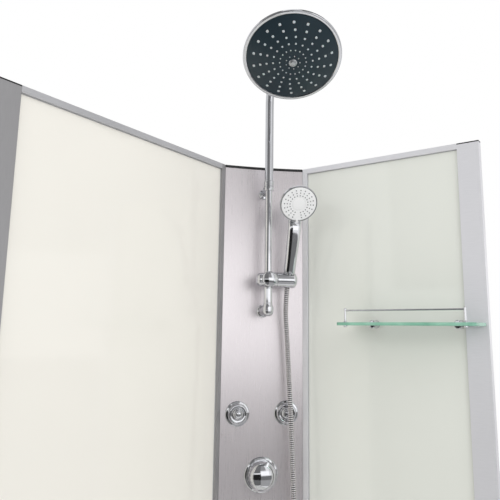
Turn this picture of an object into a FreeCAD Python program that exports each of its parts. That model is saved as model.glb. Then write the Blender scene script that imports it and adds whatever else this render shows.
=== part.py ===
import FreeCAD, Part
import math
import os

import Sketcher

# Corner shower cabin: a tray on a steel frame, two framed glass walls, and a diagonal shower column
# in the corner between them. Millimetres, +Z up, origin under the middle of the tray at floor level.
# The walls stand along -X (left) and +Y (back), and the front and the right side are open.

doc = FreeCAD.newDocument("shower_cabin")
sheet = doc.addObject("Spreadsheet::Sheet", "Sizes")
V = FreeCAD.Vector


# A length, angle or share that remembers the formula it came from, so that a feature can be bound to it.
class Size:
    def __init__(self, value, text):
        self.value = float(value)
        self.text = text

    def __add__(self, other):
        other = as_size(other)
        return Size(self.value + other.value, f"({self.text} + {other.text})")

    def __sub__(self, other):
        other = as_size(other)
        return Size(self.value - other.value, f"({self.text} - {other.text})")

    def __mul__(self, other):
        other = as_size(other)
        return Size(self.value * other.value, f"{self.text} * {other.text}")

    def __truediv__(self, other):
        other = as_size(other)
        return Size(self.value / other.value, f"{self.text} / ({other.text})")

    def __radd__(self, other):
        return as_size(other) + self

    def __rsub__(self, other):
        return as_size(other) - self

    def __rmul__(self, other):
        return as_size(other) * self

    def __neg__(self):
        return Size(-self.value, f"(0 - {self.text})")

    def __float__(self):
        return self.value


def as_size(number):
    return number if isinstance(number, Size) else Size(number, f"({float(number)!r})")


def root_of(size):
    return Size(math.sqrt(size.value), f"sqrt({size.text})")


# Adds one named size to the sheet and hands it back.
def size(name, value):
    row = len(sheet_rows) + 1
    sheet_rows.append(name)
    sheet.set(f"A{row}", name)
    sheet.set(f"B{row}", str(value))
    sheet.setAlias(f"B{row}", name)
    return Size(value, f"Sizes.{name}")


sheet_rows = []
nodes = []

# Overall sizes
tray_width = size("tray_width", 700)
tray_length = size("tray_length", 900)
rim_height = size("rim_height", 150)
wall_height = size("wall_height", 1850)
wall_depth = size("wall_depth", 20)
column_leg = size("column_leg", 165)
overrun = size("overrun", 5)
seat_gap = size("seat_gap", 0.3)
running_gap = size("running_gap", 0.05)
wall_top = rim_height + wall_height

# The corner where the inner faces of the two walls would meet, and the middle of the column's chord
corner_x = wall_depth - tray_width / 2
corner_y = tray_length / 2 - wall_depth
column_x = corner_x + column_leg / 2
column_y = corner_y - column_leg / 2
column_half = column_leg / root_of(as_size(2))

UP = V(0, 0, 1)
DIAGONAL = math.cos(math.radians(45))
SIDEWAYS = V(DIAGONAL, DIAGONAL, 0)
OUT = V(DIAGONAL, -DIAGONAL, 0)


# A point by its place along the column's width, out from its chord into the cabin, and above the floor.
def column_point(sideways, out, height):
    middle = V(float(column_x), float(column_y), 0)
    return middle + SIDEWAYS * float(sideways) + OUT * float(out) + UP * float(height)


# A placement whose Z axis is z_axis and whose X axis lies as near x_axis as it can.
def framed(origin, z_axis, x_axis):
    z = V(z_axis).normalize()
    x = V(x_axis) - z * z.dot(V(x_axis))
    x.normalize()
    return FreeCAD.Placement(origin, FreeCAD.Rotation(x, z.cross(x), z, "ZXY"))


def upright(sideways, out, height):
    return framed(column_point(sideways, out, height), UP, SIDEWAYS)


def facing_out(sideways, out, height):
    return framed(column_point(sideways, out, height), OUT, SIDEWAYS)


# Draws closed loops in a sketch. A corner is (x, y), or (x, y, radius, turn) where an arc that turns
# left (1) or right (-1) leads to it. Every corner and radius is bound to its size.
def draw(sketch, loops):
    for loop in loops:
        first = len(sketch.Geometry)
        flat = [(as_size(c[0]), as_size(c[1])) for c in loop]
        shapes = []
        ends = []
        for i, corner in enumerate(loop):
            a, b = flat[i - 1], flat[i]
            start, end = V(a[0].value, a[1].value, 0), V(b[0].value, b[1].value, 0)
            if len(corner) == 2:
                shapes.append(Part.LineSegment(start, end))
                ends.append((1, 2))
                continue
            radius, turn = float(corner[2]), corner[3]
            half = (end - start) * 0.5
            rise = math.sqrt(max(radius**2 - half.Length**2, 0))
            left = V(-half.y, half.x, 0).normalize()
            centre = start + half + left * (rise * turn)
            angles = [math.atan2(p.y - centre.y, p.x - centre.x) for p in (start, end)]
            if turn < 0:
                angles.reverse()
            circle = Part.Circle(centre, UP, radius)
            shapes.append(Part.ArcOfCircle(circle, *angles))
            ends.append((1, 2) if turn > 0 else (2, 1))
        sketch.addGeometry(shapes, False)
        limits, formulas = [], []
        for i, corner in enumerate(loop):
            here, after = first + i, first + (i + 1) % len(loop)
            limits.append(Sketcher.Constraint("Coincident", here, ends[i][1], after, ends[(i + 1) % len(loop)][0]))
            for kind, axis, value in (("DistanceX", -2, flat[i][0]), ("DistanceY", -1, flat[i][1])):
                if value.value == 0:
                    limits.append(Sketcher.Constraint("PointOnObject", here, ends[i][1], axis))
                else:
                    formulas.append((len(limits), value))
                    limits.append(Sketcher.Constraint(kind, here, ends[i][1], value.value))
            if len(corner) == 4:
                formulas.append((len(limits), as_size(corner[2])))
                limits.append(Sketcher.Constraint("Radius", here, float(corner[2])))
        base = len(sketch.Constraints)
        sketch.addConstraint(limits)
        for place, value in formulas:
            sketch.setExpression(f"Constraints[{base + place}]", value.text)


# Full circles, each (x, y, radius).
def draw_circles(sketch, circles):
    for x, y, radius in circles:
        x, y, radius = as_size(x), as_size(y), as_size(radius)
        here = sketch.addGeometry(Part.Circle(V(x.value, y.value, 0), UP, radius.value), False)
        for kind, axis, value in (("DistanceX", -2, x), ("DistanceY", -1, y)):
            if value.value == 0:
                sketch.addConstraint(Sketcher.Constraint("PointOnObject", here, 3, axis))
            else:
                made = sketch.addConstraint(Sketcher.Constraint(kind, here, 3, value.value))
                sketch.setExpression(f"Constraints[{made}]", value.text)
        made = sketch.addConstraint(Sketcher.Constraint("Radius", here, radius.value))
        sketch.setExpression(f"Constraints[{made}]", radius.text)


def new_body(name, placement=None):
    body = doc.addObject("PartDesign::Body", name)
    if placement is not None:
        body.Placement = placement
    return body


def new_sketch(body, plane, offset=0):
    support = [f for f in body.Origin.OriginFeatures if f.Role == plane][0]
    sketch = body.newObject("Sketcher::SketchObject", f"{body.Name}_outline")
    sketch.AttachmentSupport = (support, [""])
    sketch.MapMode = "FlatFace"
    if float(offset) != 0:
        sketch.AttachmentOffset = FreeCAD.Placement(V(0, 0, float(offset)), FreeCAD.Rotation())
        sketch.setExpression("AttachmentOffset.Base.z", as_size(offset).text)
    sketch.Visibility = False
    return sketch


# Turns an outline of (radius, height) corners about a body's own Z axis.
def turn(body, loop):
    sketch = new_sketch(body, "XZ_Plane")
    draw(sketch, [loop])
    feature = body.newObject("PartDesign::Revolution", f"{body.Name}_turned")
    feature.Profile = sketch
    feature.ReferenceAxis = (sketch, ["V_Axis"])
    feature.Angle = 360
    return feature


# Turns an outline of (radius, height) corners about the upright axis that stands offset along Z.
def turn_across(body, loop, offset):
    sketch = new_sketch(body, "XY_Plane", offset)
    draw(sketch, [loop])
    feature = body.newObject("PartDesign::Revolution", f"{body.Name}_crossed")
    feature.Profile = sketch
    feature.ReferenceAxis = (sketch, ["V_Axis"])
    feature.Angle = 360
    return feature


def pad(body, plane, loops, length, offset=0, circles=()):
    sketch = new_sketch(body, plane, offset)
    draw(sketch, loops)
    draw_circles(sketch, circles)
    feature = body.newObject("PartDesign::Pad", f"{body.Name}_pad")
    feature.Profile = sketch
    feature.Length = float(length)
    feature.setExpression("Length", as_size(length).text)
    return feature


# Cuts a pocket of that depth along the sketch's own normal if forward, or against it.
def pocket(body, plane, loops, length, offset=0, circles=(), forward=False):
    sketch = new_sketch(body, plane, offset)
    draw(sketch, loops)
    draw_circles(sketch, circles)
    feature = body.newObject("PartDesign::Pocket", f"{body.Name}_pocket")
    feature.Profile = sketch
    feature.Length = float(length)
    feature.setExpression("Length", as_size(length).text)
    feature.Reversed = forward
    return feature


# Holes right through a body, both ways from the plane.
def pierce(body, plane, circles):
    sketch = new_sketch(body, plane)
    draw_circles(sketch, circles)
    feature = body.newObject("PartDesign::Pocket", f"{body.Name}_holes")
    feature.Profile = sketch
    feature.Type = 1
    feature.Midplane = True
    return feature


def turned(name, placement, loop):
    body = new_body(name, placement)
    turn(body, loop)
    return body


# The corners of an outline given as shares of a radius and a length.
def shaped(shares, radius, length, start=0):
    return [(radius * r, start + length * h) for r, h in shares]


def ring(inner, outer, bottom, top):
    return [(inner, bottom), (outer, bottom), (outer, top), (inner, top)]


def rectangle(x0, y0, x1, y1):
    return [(x0, y0), (x1, y0), (x1, y1), (x0, y1)]


def rounded_rectangle(half_x, half_y, radius):
    return [
        (half_x - radius, -half_y),
        (half_x, radius - half_y, radius, 1),
        (half_x, half_y - radius),
        (half_x - radius, half_y, radius, 1),
        (radius - half_x, half_y),
        (-half_x, half_y - radius, radius, 1),
        (-half_x, radius - half_y),
        (radius - half_x, -half_y, radius, 1),
    ]


# A box from its lowest corner and its three sides, all bound to their sizes.
def box(name, corner, sides):
    made = doc.addObject("Part::Box", name)
    for prop, value in zip(("Length", "Width", "Height"), sides):
        setattr(made, prop, float(value))
        made.setExpression(prop, as_size(value).text)
    made.Placement = FreeCAD.Placement(V(*[float(c) for c in corner]), FreeCAD.Rotation())
    for axis, value in zip("xyz", corner):
        made.setExpression(f"Placement.Base.{axis}", as_size(value).text)
    return made


def rod(name, placement, radius, length):
    made = doc.addObject("Part::Cylinder", name)
    made.Radius = float(radius)
    made.setExpression("Radius", as_size(radius).text)
    made.Height = float(length)
    made.setExpression("Height", as_size(length).text)
    made.Placement = placement
    return made


def cut(name, base, tool):
    made = doc.addObject("Part::Cut", name)
    made.Base = base
    made.Tool = tool
    return made


def fuse(name, pieces):
    made = doc.addObject("Part::MultiFuse", name)
    made.Shapes = pieces
    return made


# Separate solids that share one node.
def group(name, shapes):
    made = doc.addObject("Part::Feature", name)
    made.Shape = Part.makeCompound(shapes)
    return made


# Marks an object as a piece of the cabin, under the name that a person would use.
def piece(made, label):
    made.Label = label
    nodes.append(made)
    return made


def moved(shape, vector):
    copy = shape.copy()
    copy.translate(vector)
    return copy


# Tray: an acrylic shell with a basin, a rim that the walls stand on and a skirt down to near the floor,
# with a notch in the left skirt for the waste pipe
skirt_clear = size("skirt_clear", 20)
tray_skin = size("tray_skin", 5)
rim_width = size("rim_width", 45)
basin_depth = size("basin_depth", 85)
basin_corner = size("basin_corner", 60)
tray_corner = size("tray_corner", 12)
waste_from_side = size("waste_from_side", 200)
waste_from_end = size("waste_from_end", 120)
waste_hole = size("waste_hole", 46)
notch_half = size("notch_half", 32)
notch_height = size("notch_height", 42)
waste_x = waste_from_side - tray_width / 2
waste_y = tray_length / 2 - waste_from_end
basin_floor = rim_height - basin_depth
basin_half_x = tray_width / 2 - rim_width
basin_half_y = tray_length / 2 - rim_width

tray = new_body("tray")
tray_outline = rounded_rectangle(tray_width / 2, tray_length / 2, tray_corner)
pad(tray, "XY_Plane", [tray_outline], rim_height - skirt_clear, skirt_clear)
pocket(tray, "XY_Plane", [rounded_rectangle(basin_half_x, basin_half_y, basin_corner)], basin_depth, rim_height)
under_outline = rounded_rectangle(tray_width / 2 - tray_skin, tray_length / 2 - tray_skin, tray_corner - tray_skin)
basin_shell = rounded_rectangle(basin_half_x + tray_skin, basin_half_y + tray_skin, basin_corner + tray_skin)
pocket(tray, "XY_Plane", [under_outline], basin_floor - tray_skin - skirt_clear, skirt_clear, forward=True)
pocket(
    tray,
    "XY_Plane",
    [under_outline, basin_shell],
    rim_height - basin_floor,
    basin_floor - tray_skin,
    forward=True,
)
pocket(tray, "XY_Plane", [], rim_height, rim_height, circles=[(waste_x, waste_y, waste_hole)])
notch_side = tray_width / 2
pipe_notch = rectangle(
    -notch_side - overrun, waste_y - notch_half, tray_skin + overrun - notch_side, waste_y + notch_half
)
pocket(tray, "XY_Plane", [pipe_notch], notch_height, skirt_clear, forward=True)
piece(tray, "shower_tray")

# Frame under the tray: two long square tubes across three short ones, on five screw feet
tube_side = size("tube_side", 25)
tube_wall = size("tube_wall", 1.5)
frame_inset = size("frame_inset", 90)
frame_end_inset = size("frame_end_inset", 165)
foot_radius = size("foot_radius", 22)
foot_height = size("foot_height", 9)
foot_bolt = size("foot_bolt", 5)
foot_nut = size("foot_nut", 9)
foot_nut_height = size("foot_nut_height", 6)
frame_top = basin_floor - tray_skin - seat_gap
frame_bottom = frame_top - tube_side
rail_x = tray_width / 2 - frame_inset
rail_y = tray_length / 2 - frame_end_inset


# A square steel tube between two ends, along X or along Y.
def square_tube(name, along_x, start, end, side_place):
    half = tube_side / 2
    inner = half - tube_wall
    if along_x:
        outer = box(name, (start, side_place - half, frame_bottom), (end - start, tube_side, tube_side))
        bore_corner = (start - overrun, side_place - inner, frame_bottom + tube_wall)
        bore = box(f"{name}_bore", bore_corner, (end - start + overrun * 2, inner * 2, inner * 2))
    else:
        outer = box(name, (side_place - half, start, frame_bottom), (tube_side, end - start, tube_side))
        bore_corner = (side_place - inner, start - overrun, frame_bottom + tube_wall)
        bore = box(f"{name}_bore", bore_corner, (inner * 2, end - start + overrun * 2, inner * 2))
    return cut(f"{name}_tube", outer, bore)


frame_tubes = [
    square_tube("frame_left", False, -rail_y, rail_y, -rail_x),
    square_tube("frame_right", False, -rail_y, rail_y, rail_x),
]
for i, share in enumerate((-1, 0, 1)):
    reach = rail_x - tube_side / 2
    frame_tubes.append(square_tube(f"frame_cross_{i}", True, -reach, reach, (rail_y - tube_side) * share))
doc.recompute()
tray_frame = group("frame", [t.Shape for t in frame_tubes])
foot_places = [V(float(rail_x) * x, float(rail_y - tube_side) * y, 0) for x in (-1, 1) for y in (-1, 1)]
foot_places.append(V(0, 0, 0))
bolt_length = frame_bottom + tube_wall * 3
foot = turned(
    "foot",
    None,
    [
        (0, 0),
        (foot_radius, 0),
        (foot_radius, foot_height / 3),
        (foot_radius / 2, foot_height),
        (foot_bolt, foot_height),
        (foot_bolt, frame_bottom - foot_nut_height - seat_gap),
        (foot_nut, frame_bottom - foot_nut_height - seat_gap),
        (foot_nut, frame_bottom - seat_gap),
        (foot_bolt, frame_bottom - seat_gap),
        (foot_bolt, bolt_length),
        (0, bolt_length),
    ],
)
doc.recompute()
feet = group("feet", [moved(foot.Shape, p) for p in foot_places])
piece(feet, "tray_feet")
bolt_hole = Part.makeCylinder(float(foot_bolt + seat_gap), float(rim_height))
frame_shape = tray_frame.Shape.cut([moved(bolt_hole, p) for p in foot_places])
tray_frame.Shape = frame_shape
piece(tray_frame, "tray_frame")

# Waste: a chrome flange in the tray's floor, a low trap under it and a lift-out cover
flange_radius = size("flange_radius", 56)
flange_lip = size("flange_lip", 2)
flange_bore = size("flange_bore", 37)
trap_radius = size("trap_radius", 42)
trap_wall = size("trap_wall", 3)
trap_bottom = size("trap_bottom", 8)
trap_brim = size("trap_brim", 54)
trap_brim_height = size("trap_brim_height", 4)
pipe_collar_radius = size("pipe_collar_radius", 23)
pipe_collar_length = size("pipe_collar_length", 10)
outlet_pipe_radius = size("outlet_pipe_radius", 20)
outlet_pipe_length = size("outlet_pipe_length", 45)
cover_radius = size("cover_radius", 50)
cover_height = size("cover_height", 6)
cover_lift = size("cover_lift", 4)
cover_stem = size("cover_stem", 36)
cover_stem_depth = size("cover_stem_depth", 12)
trap_top = basin_floor - tray_skin - seat_gap
trap_place = FreeCAD.Placement(V(float(waste_x), float(waste_y), 0), FreeCAD.Rotation())
flange_bottom = trap_top - trap_brim_height
waste_flange = turned(
    "waste_flange",
    trap_place,
    [
        (flange_bore, flange_bottom),
        (trap_radius - trap_wall - seat_gap, flange_bottom),
        (trap_radius - trap_wall - seat_gap, basin_floor + seat_gap),
        (flange_radius, basin_floor + seat_gap),
        (flange_radius, basin_floor + seat_gap + flange_lip / 2),
        (flange_radius - flange_lip, basin_floor + seat_gap + flange_lip),
        (flange_bore, basin_floor + seat_gap + flange_lip),
    ],
)
piece(waste_flange, "waste_flange")
trap_cup = turned(
    "trap_cup",
    trap_place,
    [
        (0, trap_bottom),
        (trap_radius, trap_bottom),
        (trap_radius, trap_top - trap_brim_height),
        (trap_brim, trap_top - trap_brim_height),
        (trap_brim, trap_top),
        (trap_radius - trap_wall, trap_top),
        (trap_radius - trap_wall, trap_bottom + trap_wall),
        (0, trap_bottom + trap_wall),
    ],
)
pipe_z = trap_bottom + outlet_pipe_radius + trap_wall / 2
pipe_start = V(float(waste_x - trap_radius + trap_wall), float(waste_y), float(pipe_z))
pipe_place = framed(pipe_start, V(-1, 0, 0), UP)
trap_collar = rod("trap_collar", pipe_place, pipe_collar_radius, pipe_collar_length + trap_wall)
trap_pipe_length = outlet_pipe_length + pipe_collar_length + trap_wall
trap_pipe = rod("trap_pipe", pipe_place, outlet_pipe_radius, trap_pipe_length)
trap_bore_place = framed(pipe_start + V(float(overrun), 0, 0), V(-1, 0, 0), UP)
trap_bore_length = trap_pipe_length + overrun * 2
trap_bore = rod("trap_bore", trap_bore_place, outlet_pipe_radius - trap_wall / 2, trap_bore_length)
trap = cut("trap", fuse("trap_whole", [trap_cup, trap_collar, trap_pipe]), trap_bore)
piece(trap, "waste_trap")
cover_bottom = basin_floor + seat_gap * 2 + flange_lip
waste_cover = turned(
    "waste_cover",
    trap_place,
    [
        (0, cover_bottom - cover_stem_depth),
        (cover_stem, cover_bottom - cover_stem_depth),
        (cover_stem, cover_bottom),
        (cover_radius, cover_bottom),
        (cover_radius, cover_bottom + cover_lift / 4),
        (cover_radius * 0.75, cover_bottom + cover_height * 0.8),
        (0, cover_bottom + cover_height),
    ],
)
piece(waste_cover, "waste_cover")

# Walls: each is a glass sheet held in slots of four aluminium profiles
stile_width = size("stile_width", 15)
post_width = size("post_width", 55)
top_rail_height = size("top_rail_height", 15)
bottom_rail_height = size("bottom_rail_height", 28)
glass_thickness = size("glass_thickness", 6)
glass_inset = size("glass_inset", 7)
slot_play = size("slot_play", 0.2)
slot_depth = size("slot_depth", 12)
top_slot_depth = size("top_slot_depth", 9)
profile_wall = size("profile_wall", 2.5)
flange_reach = size("flange_reach", 25)
flange_thickness = size("flange_thickness", 2.5)
flange_back = size("flange_back", 5.5)
cap_thickness = size("cap_thickness", 3)
slot_front = glass_inset - slot_play
slot_width = glass_thickness + slot_play * 2
column_frame = framed(column_point(0, 0, 0), UP, SIDEWAYS)
post_top = wall_top - cap_thickness


# The profile beside the column, drawn across the column: a slotted square with a flange behind the panel.
def column_stile(name, side):
    along = (-DIAGONAL, -DIAGONAL)
    depth = (-DIAGONAL, DIAGONAL)

    def spot(run, inward):
        x = -column_half + run * along[0] + inward * depth[0]
        y = run * along[1] + inward * depth[1]
        return (x * side, y)

    corners = [
        (-column_half * side, 0),
        spot(stile_width, 0),
        spot(stile_width, slot_front),
        spot(stile_width - slot_depth, slot_front),
        spot(stile_width - slot_depth, slot_front + slot_width),
        spot(stile_width, slot_front + slot_width),
        spot(stile_width, wall_depth),
        spot(as_size(0), wall_depth),
        ((-column_half - flange_back - flange_thickness) * side, flange_back + flange_thickness),
        ((flange_reach - column_half) * side, flange_back + flange_thickness),
        ((flange_reach - column_half) * side, flange_back),
        ((-column_half - flange_back) * side, flange_back),
    ]
    body = new_body(name, column_frame)
    pad(body, "XY_Plane", [corners], wall_height, rim_height)
    return body


piece(column_stile("left_stile", 1), "left_column_stile")
piece(column_stile("back_stile", -1), "back_column_stile")


# One wall's straight pieces. spot turns (along from the corner, depth into the wall) into X and Y.
def wall(side, wall_length, spot):
    along_start = column_leg + stile_width
    along_end = wall_length - post_width

    def slab(name, start, end, near, far, bottom, top):
        a, b = spot(start, near), spot(end, far)
        low = [a[k] if float(a[k]) < float(b[k]) else b[k] for k in (0, 1)]
        high = [b[k] if float(a[k]) < float(b[k]) else a[k] for k in (0, 1)]
        return box(name, (low[0], low[1], bottom), (high[0] - low[0], high[1] - low[1], top - bottom))

    slot = (slot_front, slot_front + slot_width)
    top_rail = cut(
        f"{side}_top",
        slab(f"{side}_top_bar", along_start, along_end, as_size(0), wall_depth, wall_top - top_rail_height, wall_top),
        slab(
            f"{side}_top_slot",
            along_start - overrun,
            along_end + overrun,
            *slot,
            wall_top - top_rail_height - overrun,
            wall_top - top_rail_height + top_slot_depth,
        ),
    )
    piece(top_rail, f"{side}_top_rail")
    bottom_rail = cut(
        f"{side}_bottom",
        slab(
            f"{side}_bottom_bar", along_start, along_end, as_size(0), wall_depth, rim_height, rim_height + bottom_rail_height
        ),
        slab(
            f"{side}_bottom_slot",
            along_start - overrun,
            along_end + overrun,
            *slot,
            rim_height + bottom_rail_height - slot_depth,
            rim_height + bottom_rail_height + overrun,
        ),
    )
    piece(bottom_rail, f"{side}_bottom_rail")
    glass = slab(
        f"{side}_sheet",
        along_start - slot_depth + seat_gap,
        along_end + slot_depth - seat_gap,
        glass_inset,
        glass_inset + glass_thickness,
        rim_height + bottom_rail_height - slot_depth + seat_gap,
        wall_top - top_rail_height + top_slot_depth - seat_gap,
    )
    piece(glass, f"{side}_glass")
    bar = slab(f"{side}_post_bar", along_end, wall_length, as_size(0), wall_depth, rim_height, post_top)
    channel = slab(
        f"{side}_post_slot", along_end - overrun, along_end + slot_depth, *slot, rim_height - overrun, post_top + overrun
    )
    chamber = slab(
        f"{side}_post_chamber",
        along_end + slot_depth + profile_wall,
        wall_length - profile_wall,
        profile_wall,
        wall_depth - profile_wall,
        rim_height - overrun,
        post_top + overrun,
    )
    post = cut(f"{side}_post", cut(f"{side}_post_slotted", bar, channel), chamber)
    piece(post, f"{side}_end_post")
    return slab(f"{side}_cap", along_end, wall_length, as_size(0), wall_depth, post_top, wall_top)


left_length = tray_length - wall_depth
back_length = tray_width - wall_depth
left_cap = wall("left", left_length, lambda run, depth: (corner_x - depth, corner_y - run))
back_cap = wall("back", back_length, lambda run, depth: (corner_x + run, corner_y + depth))
doc.recompute()
piece(group("post_caps", [left_cap.Shape, back_cap.Shape]), "post_caps")

# Column: a gently hollow aluminium panel, its black top cap and the bent straps behind it
panel_sag = size("panel_sag", 6.4)
panel_thickness = size("panel_thickness", 3)
top_cap = size("top_cap", 6)
strap_height = size("strap_height", 40)
strap_thickness = size("strap_thickness", 2.5)
strap_foot = size("strap_foot", 20)
strap_bend = size("strap_bend", 4)
panel_half = column_half - seat_gap
panel_radius = (panel_half * panel_half + panel_sag * panel_sag) / (panel_sag * 2)
panel_back_radius = panel_radius + panel_thickness
panel_edge = panel_sag - panel_radius + root_of(panel_back_radius * panel_back_radius - panel_half * panel_half)


# How far behind the chord the panel's face lies at a place across it, and the way it faces there.
def panel_face(sideways):
    return panel_radius - panel_sag - root_of(panel_radius * panel_radius - sideways * sideways)


def on_panel(sideways, height):
    lean = math.asin(float(sideways) / float(panel_radius))
    facing = OUT * math.cos(lean) - SIDEWAYS * math.sin(lean)
    return framed(column_point(sideways, panel_face(as_size(sideways)), height), facing, SIDEWAYS)


panel = new_body("panel", column_frame)
pad(
    panel,
    "XY_Plane",
    [
        [
            (-panel_half, 0),
            (panel_half, 0, panel_radius, -1),
            (panel_half, panel_edge),
            (-panel_half, panel_edge, panel_back_radius, 1),
        ]
    ],
    wall_height - top_cap,
    rim_height,
)
cap_inner = column_half - flange_reach - seat_gap
cap_shoulder = flange_back - seat_gap
cap = new_body("column_cap", column_frame)
pad(
    cap,
    "XY_Plane",
    [
        [
            (-panel_half, 0),
            (panel_half, 0, panel_radius, -1),
            (panel_half, cap_shoulder),
            (cap_inner, cap_shoulder),
            (cap_inner, panel_half - cap_inner),
            (0, panel_half),
            (-cap_inner, panel_half - cap_inner),
            (-cap_inner, cap_shoulder),
            (-panel_half, cap_shoulder),
        ]
    ],
    top_cap,
    wall_top - top_cap,
)
piece(cap, "column_top_cap")
strap_front = panel_sag + panel_thickness + seat_gap
strap_seat = flange_back + flange_thickness
strap_end = column_half - seat_gap * 2
strap = new_body("strap", column_frame)
pad(
    strap,
    "XY_Plane",
    [
        [
            (-strap_end, strap_seat),
            (strap_foot - strap_end, strap_seat),
            (strap_foot + strap_bend - strap_end, strap_front),
            (strap_end - strap_foot - strap_bend, strap_front),
            (strap_end - strap_foot, strap_seat),
            (strap_end, strap_seat),
            (strap_end, strap_seat + strap_thickness),
            (strap_end - strap_foot, strap_seat + strap_thickness),
            (strap_end - strap_foot - strap_bend, strap_front + strap_thickness),
            (strap_foot + strap_bend - strap_end, strap_front + strap_thickness),
            (strap_foot - strap_end, strap_seat + strap_thickness),
            (-strap_end, strap_seat + strap_thickness),
        ]
    ],
    strap_height,
)

# Heights of the fittings above the floor. The low ones follow the mixer, and the riser's follow the walls.
mixer_height = size("mixer_height", 1132)
jet_rise = size("jet_rise", 161.5)
jet_offset = size("jet_offset", 69)
diverter_drop = size("diverter_drop", 147)
outlet_drop = size("outlet_drop", 115)
bracket_drop = size("bracket_drop", 84)
elbow_drop = size("elbow_drop", 342)
slider_rise = size("slider_rise", 84)
riser_out = size("riser_out", 70)
jet_height = mixer_height + jet_rise
diverter_height = mixer_height - diverter_drop
outlet_height = diverter_height - outlet_drop
bracket_height = wall_top - bracket_drop
elbow_height = bracket_height - elbow_drop
slider_height = elbow_height + slider_rise
panel_back = -panel_sag - panel_thickness

# Places of the straps, each near a fitting that loads the panel
strap_rim_rise = size("strap_rim_rise", 180)
strap_outlet_drop = size("strap_outlet_drop", 170)
strap_elbow_drop = size("strap_elbow_drop", 164)
strap_bracket_drop = size("strap_bracket_drop", 136)
strap_heights = [
    rim_height + strap_rim_rise,
    outlet_height - strap_outlet_drop,
    elbow_height - strap_elbow_drop,
    bracket_height - strap_bracket_drop,
]
doc.recompute()
piece(group("straps", [moved(strap.Shape, UP * float(z)) for z in strap_heights]), "column_straps")

# Riser: a thin lower tube between an elbow and a wall bracket, and a wider upper tube that telescopes over it
lower_radius = size("lower_radius", 10)
tube_thickness = size("tube_thickness", 1)
upper_radius = size("upper_radius", 12)
elbow_flange = size("elbow_flange", 18)
elbow_flange_height = size("elbow_flange_height", 4)
elbow_arm = size("elbow_arm", 13)
elbow_ball = size("elbow_ball", 15.5)
elbow_rise = size("elbow_rise", 17.5)
spigot_radius = size("spigot_radius", 9)
spigot_hole = size("spigot_hole", 10)
spigot_depth = size("spigot_depth", 26)
block_radius = size("block_radius", 12)
block_depth = size("block_depth", 24)
sleeve_radius = size("sleeve_radius", 12.5)
upper_rise = size("upper_rise", 8)
arm_rise = size("arm_rise", 239)
arm_radius = size("arm_radius", 140)
arm_tip = size("arm_tip", 10)
head_lean_angle = size("head_lean_angle", 32.66)
eye_height = size("eye_height", 12)
eye_radius = size("eye_radius", 14)
bracket_arm = size("bracket_arm", 5)
bracket_flange = size("bracket_flange", 15)
collar_height = size("collar_height", 16)
carrier_height = size("carrier_height", 28)
lower_overlap = size("lower_overlap", 8)
upper_bottom = bracket_height + upper_rise
arm_start = bracket_height + arm_rise


# How far a flat disc has to stand off the hollow panel to rest on it by its rim only.
def rim_seat(radius):
    return panel_face(radius) + seat_gap / 2


# A flanged arm that comes out of the panel to a ball, with a boss up (1) or down (-1) and a spigot behind.
def elbow(name, height, out, flange, rise_way):
    seat = rim_seat(flange)
    body = new_body(name, facing_out(0, 0, height))
    turn(
        body,
        [
            (0, -spigot_depth - block_depth),
            (block_radius, -spigot_depth - block_depth),
            (block_radius, -spigot_depth),
            (spigot_radius, -spigot_depth),
            (spigot_radius, seat),
            (flange, seat),
            (flange, seat + elbow_flange_height / 2),
            (elbow_arm, seat + elbow_flange_height),
            (elbow_arm, out),
            (0, out),
        ],
    )
    turn_across(
        body,
        [
            (0, -elbow_ball * rise_way),
            (elbow_ball, 0, elbow_ball, rise_way),
            (elbow_ball, elbow_rise * 0.7 * rise_way),
            (sleeve_radius, elbow_rise * rise_way),
            (0, elbow_rise * rise_way),
        ],
        out,
    )
    return body


riser_elbow = elbow("riser_elbow", elbow_height, riser_out, elbow_flange, 1)
piece(riser_elbow, "riser_elbow")
tube_base = elbow_height + elbow_rise
riser_frame = framed(column_point(0, riser_out, 0), UP, OUT)
slider_radius = size("slider_radius", 21.5)
sleeve_top = slider_height - slider_radius - seat_gap
sleeve = turned(
    "sleeve",
    riser_frame,
    ring(lower_radius + running_gap, sleeve_radius, tube_base, sleeve_top),
)
piece(sleeve, "riser_sleeve")
lower_top = arm_start - lower_overlap
lower_tube = turned(
    "lower_tube",
    riser_frame,
    ring(lower_radius - tube_thickness, lower_radius, tube_base, lower_top),
)
piece(lower_tube, "riser_tube_lower")

bracket = new_body("bracket", facing_out(0, 0, bracket_height))
bracket_seat = rim_seat(bracket_flange)
arm_end = riser_out - lower_radius - running_gap * 10
turn(
    bracket,
    [
        (0, bracket_seat),
        (bracket_flange, bracket_seat),
        (bracket_flange, bracket_seat + elbow_flange_height / 2),
        (bracket_arm, bracket_seat + elbow_flange_height),
        (bracket_arm, arm_end),
        (0, arm_end),
    ],
)
turn_across(
    bracket,
    ring(lower_radius + running_gap, eye_radius, -eye_height / 2, eye_height / 2),
    riser_out,
)
piece(bracket, "upper_bracket")

upper_bore = upper_radius - tube_thickness
carrier = turned(
    "carrier",
    riser_frame,
    ring(lower_radius + running_gap, upper_bore - running_gap, upper_bottom, upper_bottom + carrier_height),
)
piece(carrier, "riser_carrier")
collar_bottom = bracket_height + eye_height / 2 + seat_gap
collar = turned(
    "collar",
    riser_frame,
    [
        (lower_radius + seat_gap, collar_bottom),
        (eye_radius, collar_bottom),
        (eye_radius, collar_bottom + collar_height * 0.9),
        (eye_radius * 0.93, collar_bottom + collar_height),
        (upper_radius + running_gap, collar_bottom + collar_height),
        (upper_radius + running_gap, upper_bottom - seat_gap),
        (lower_radius + seat_gap, upper_bottom - seat_gap),
    ],
)
piece(collar, "lock_collar")

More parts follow.
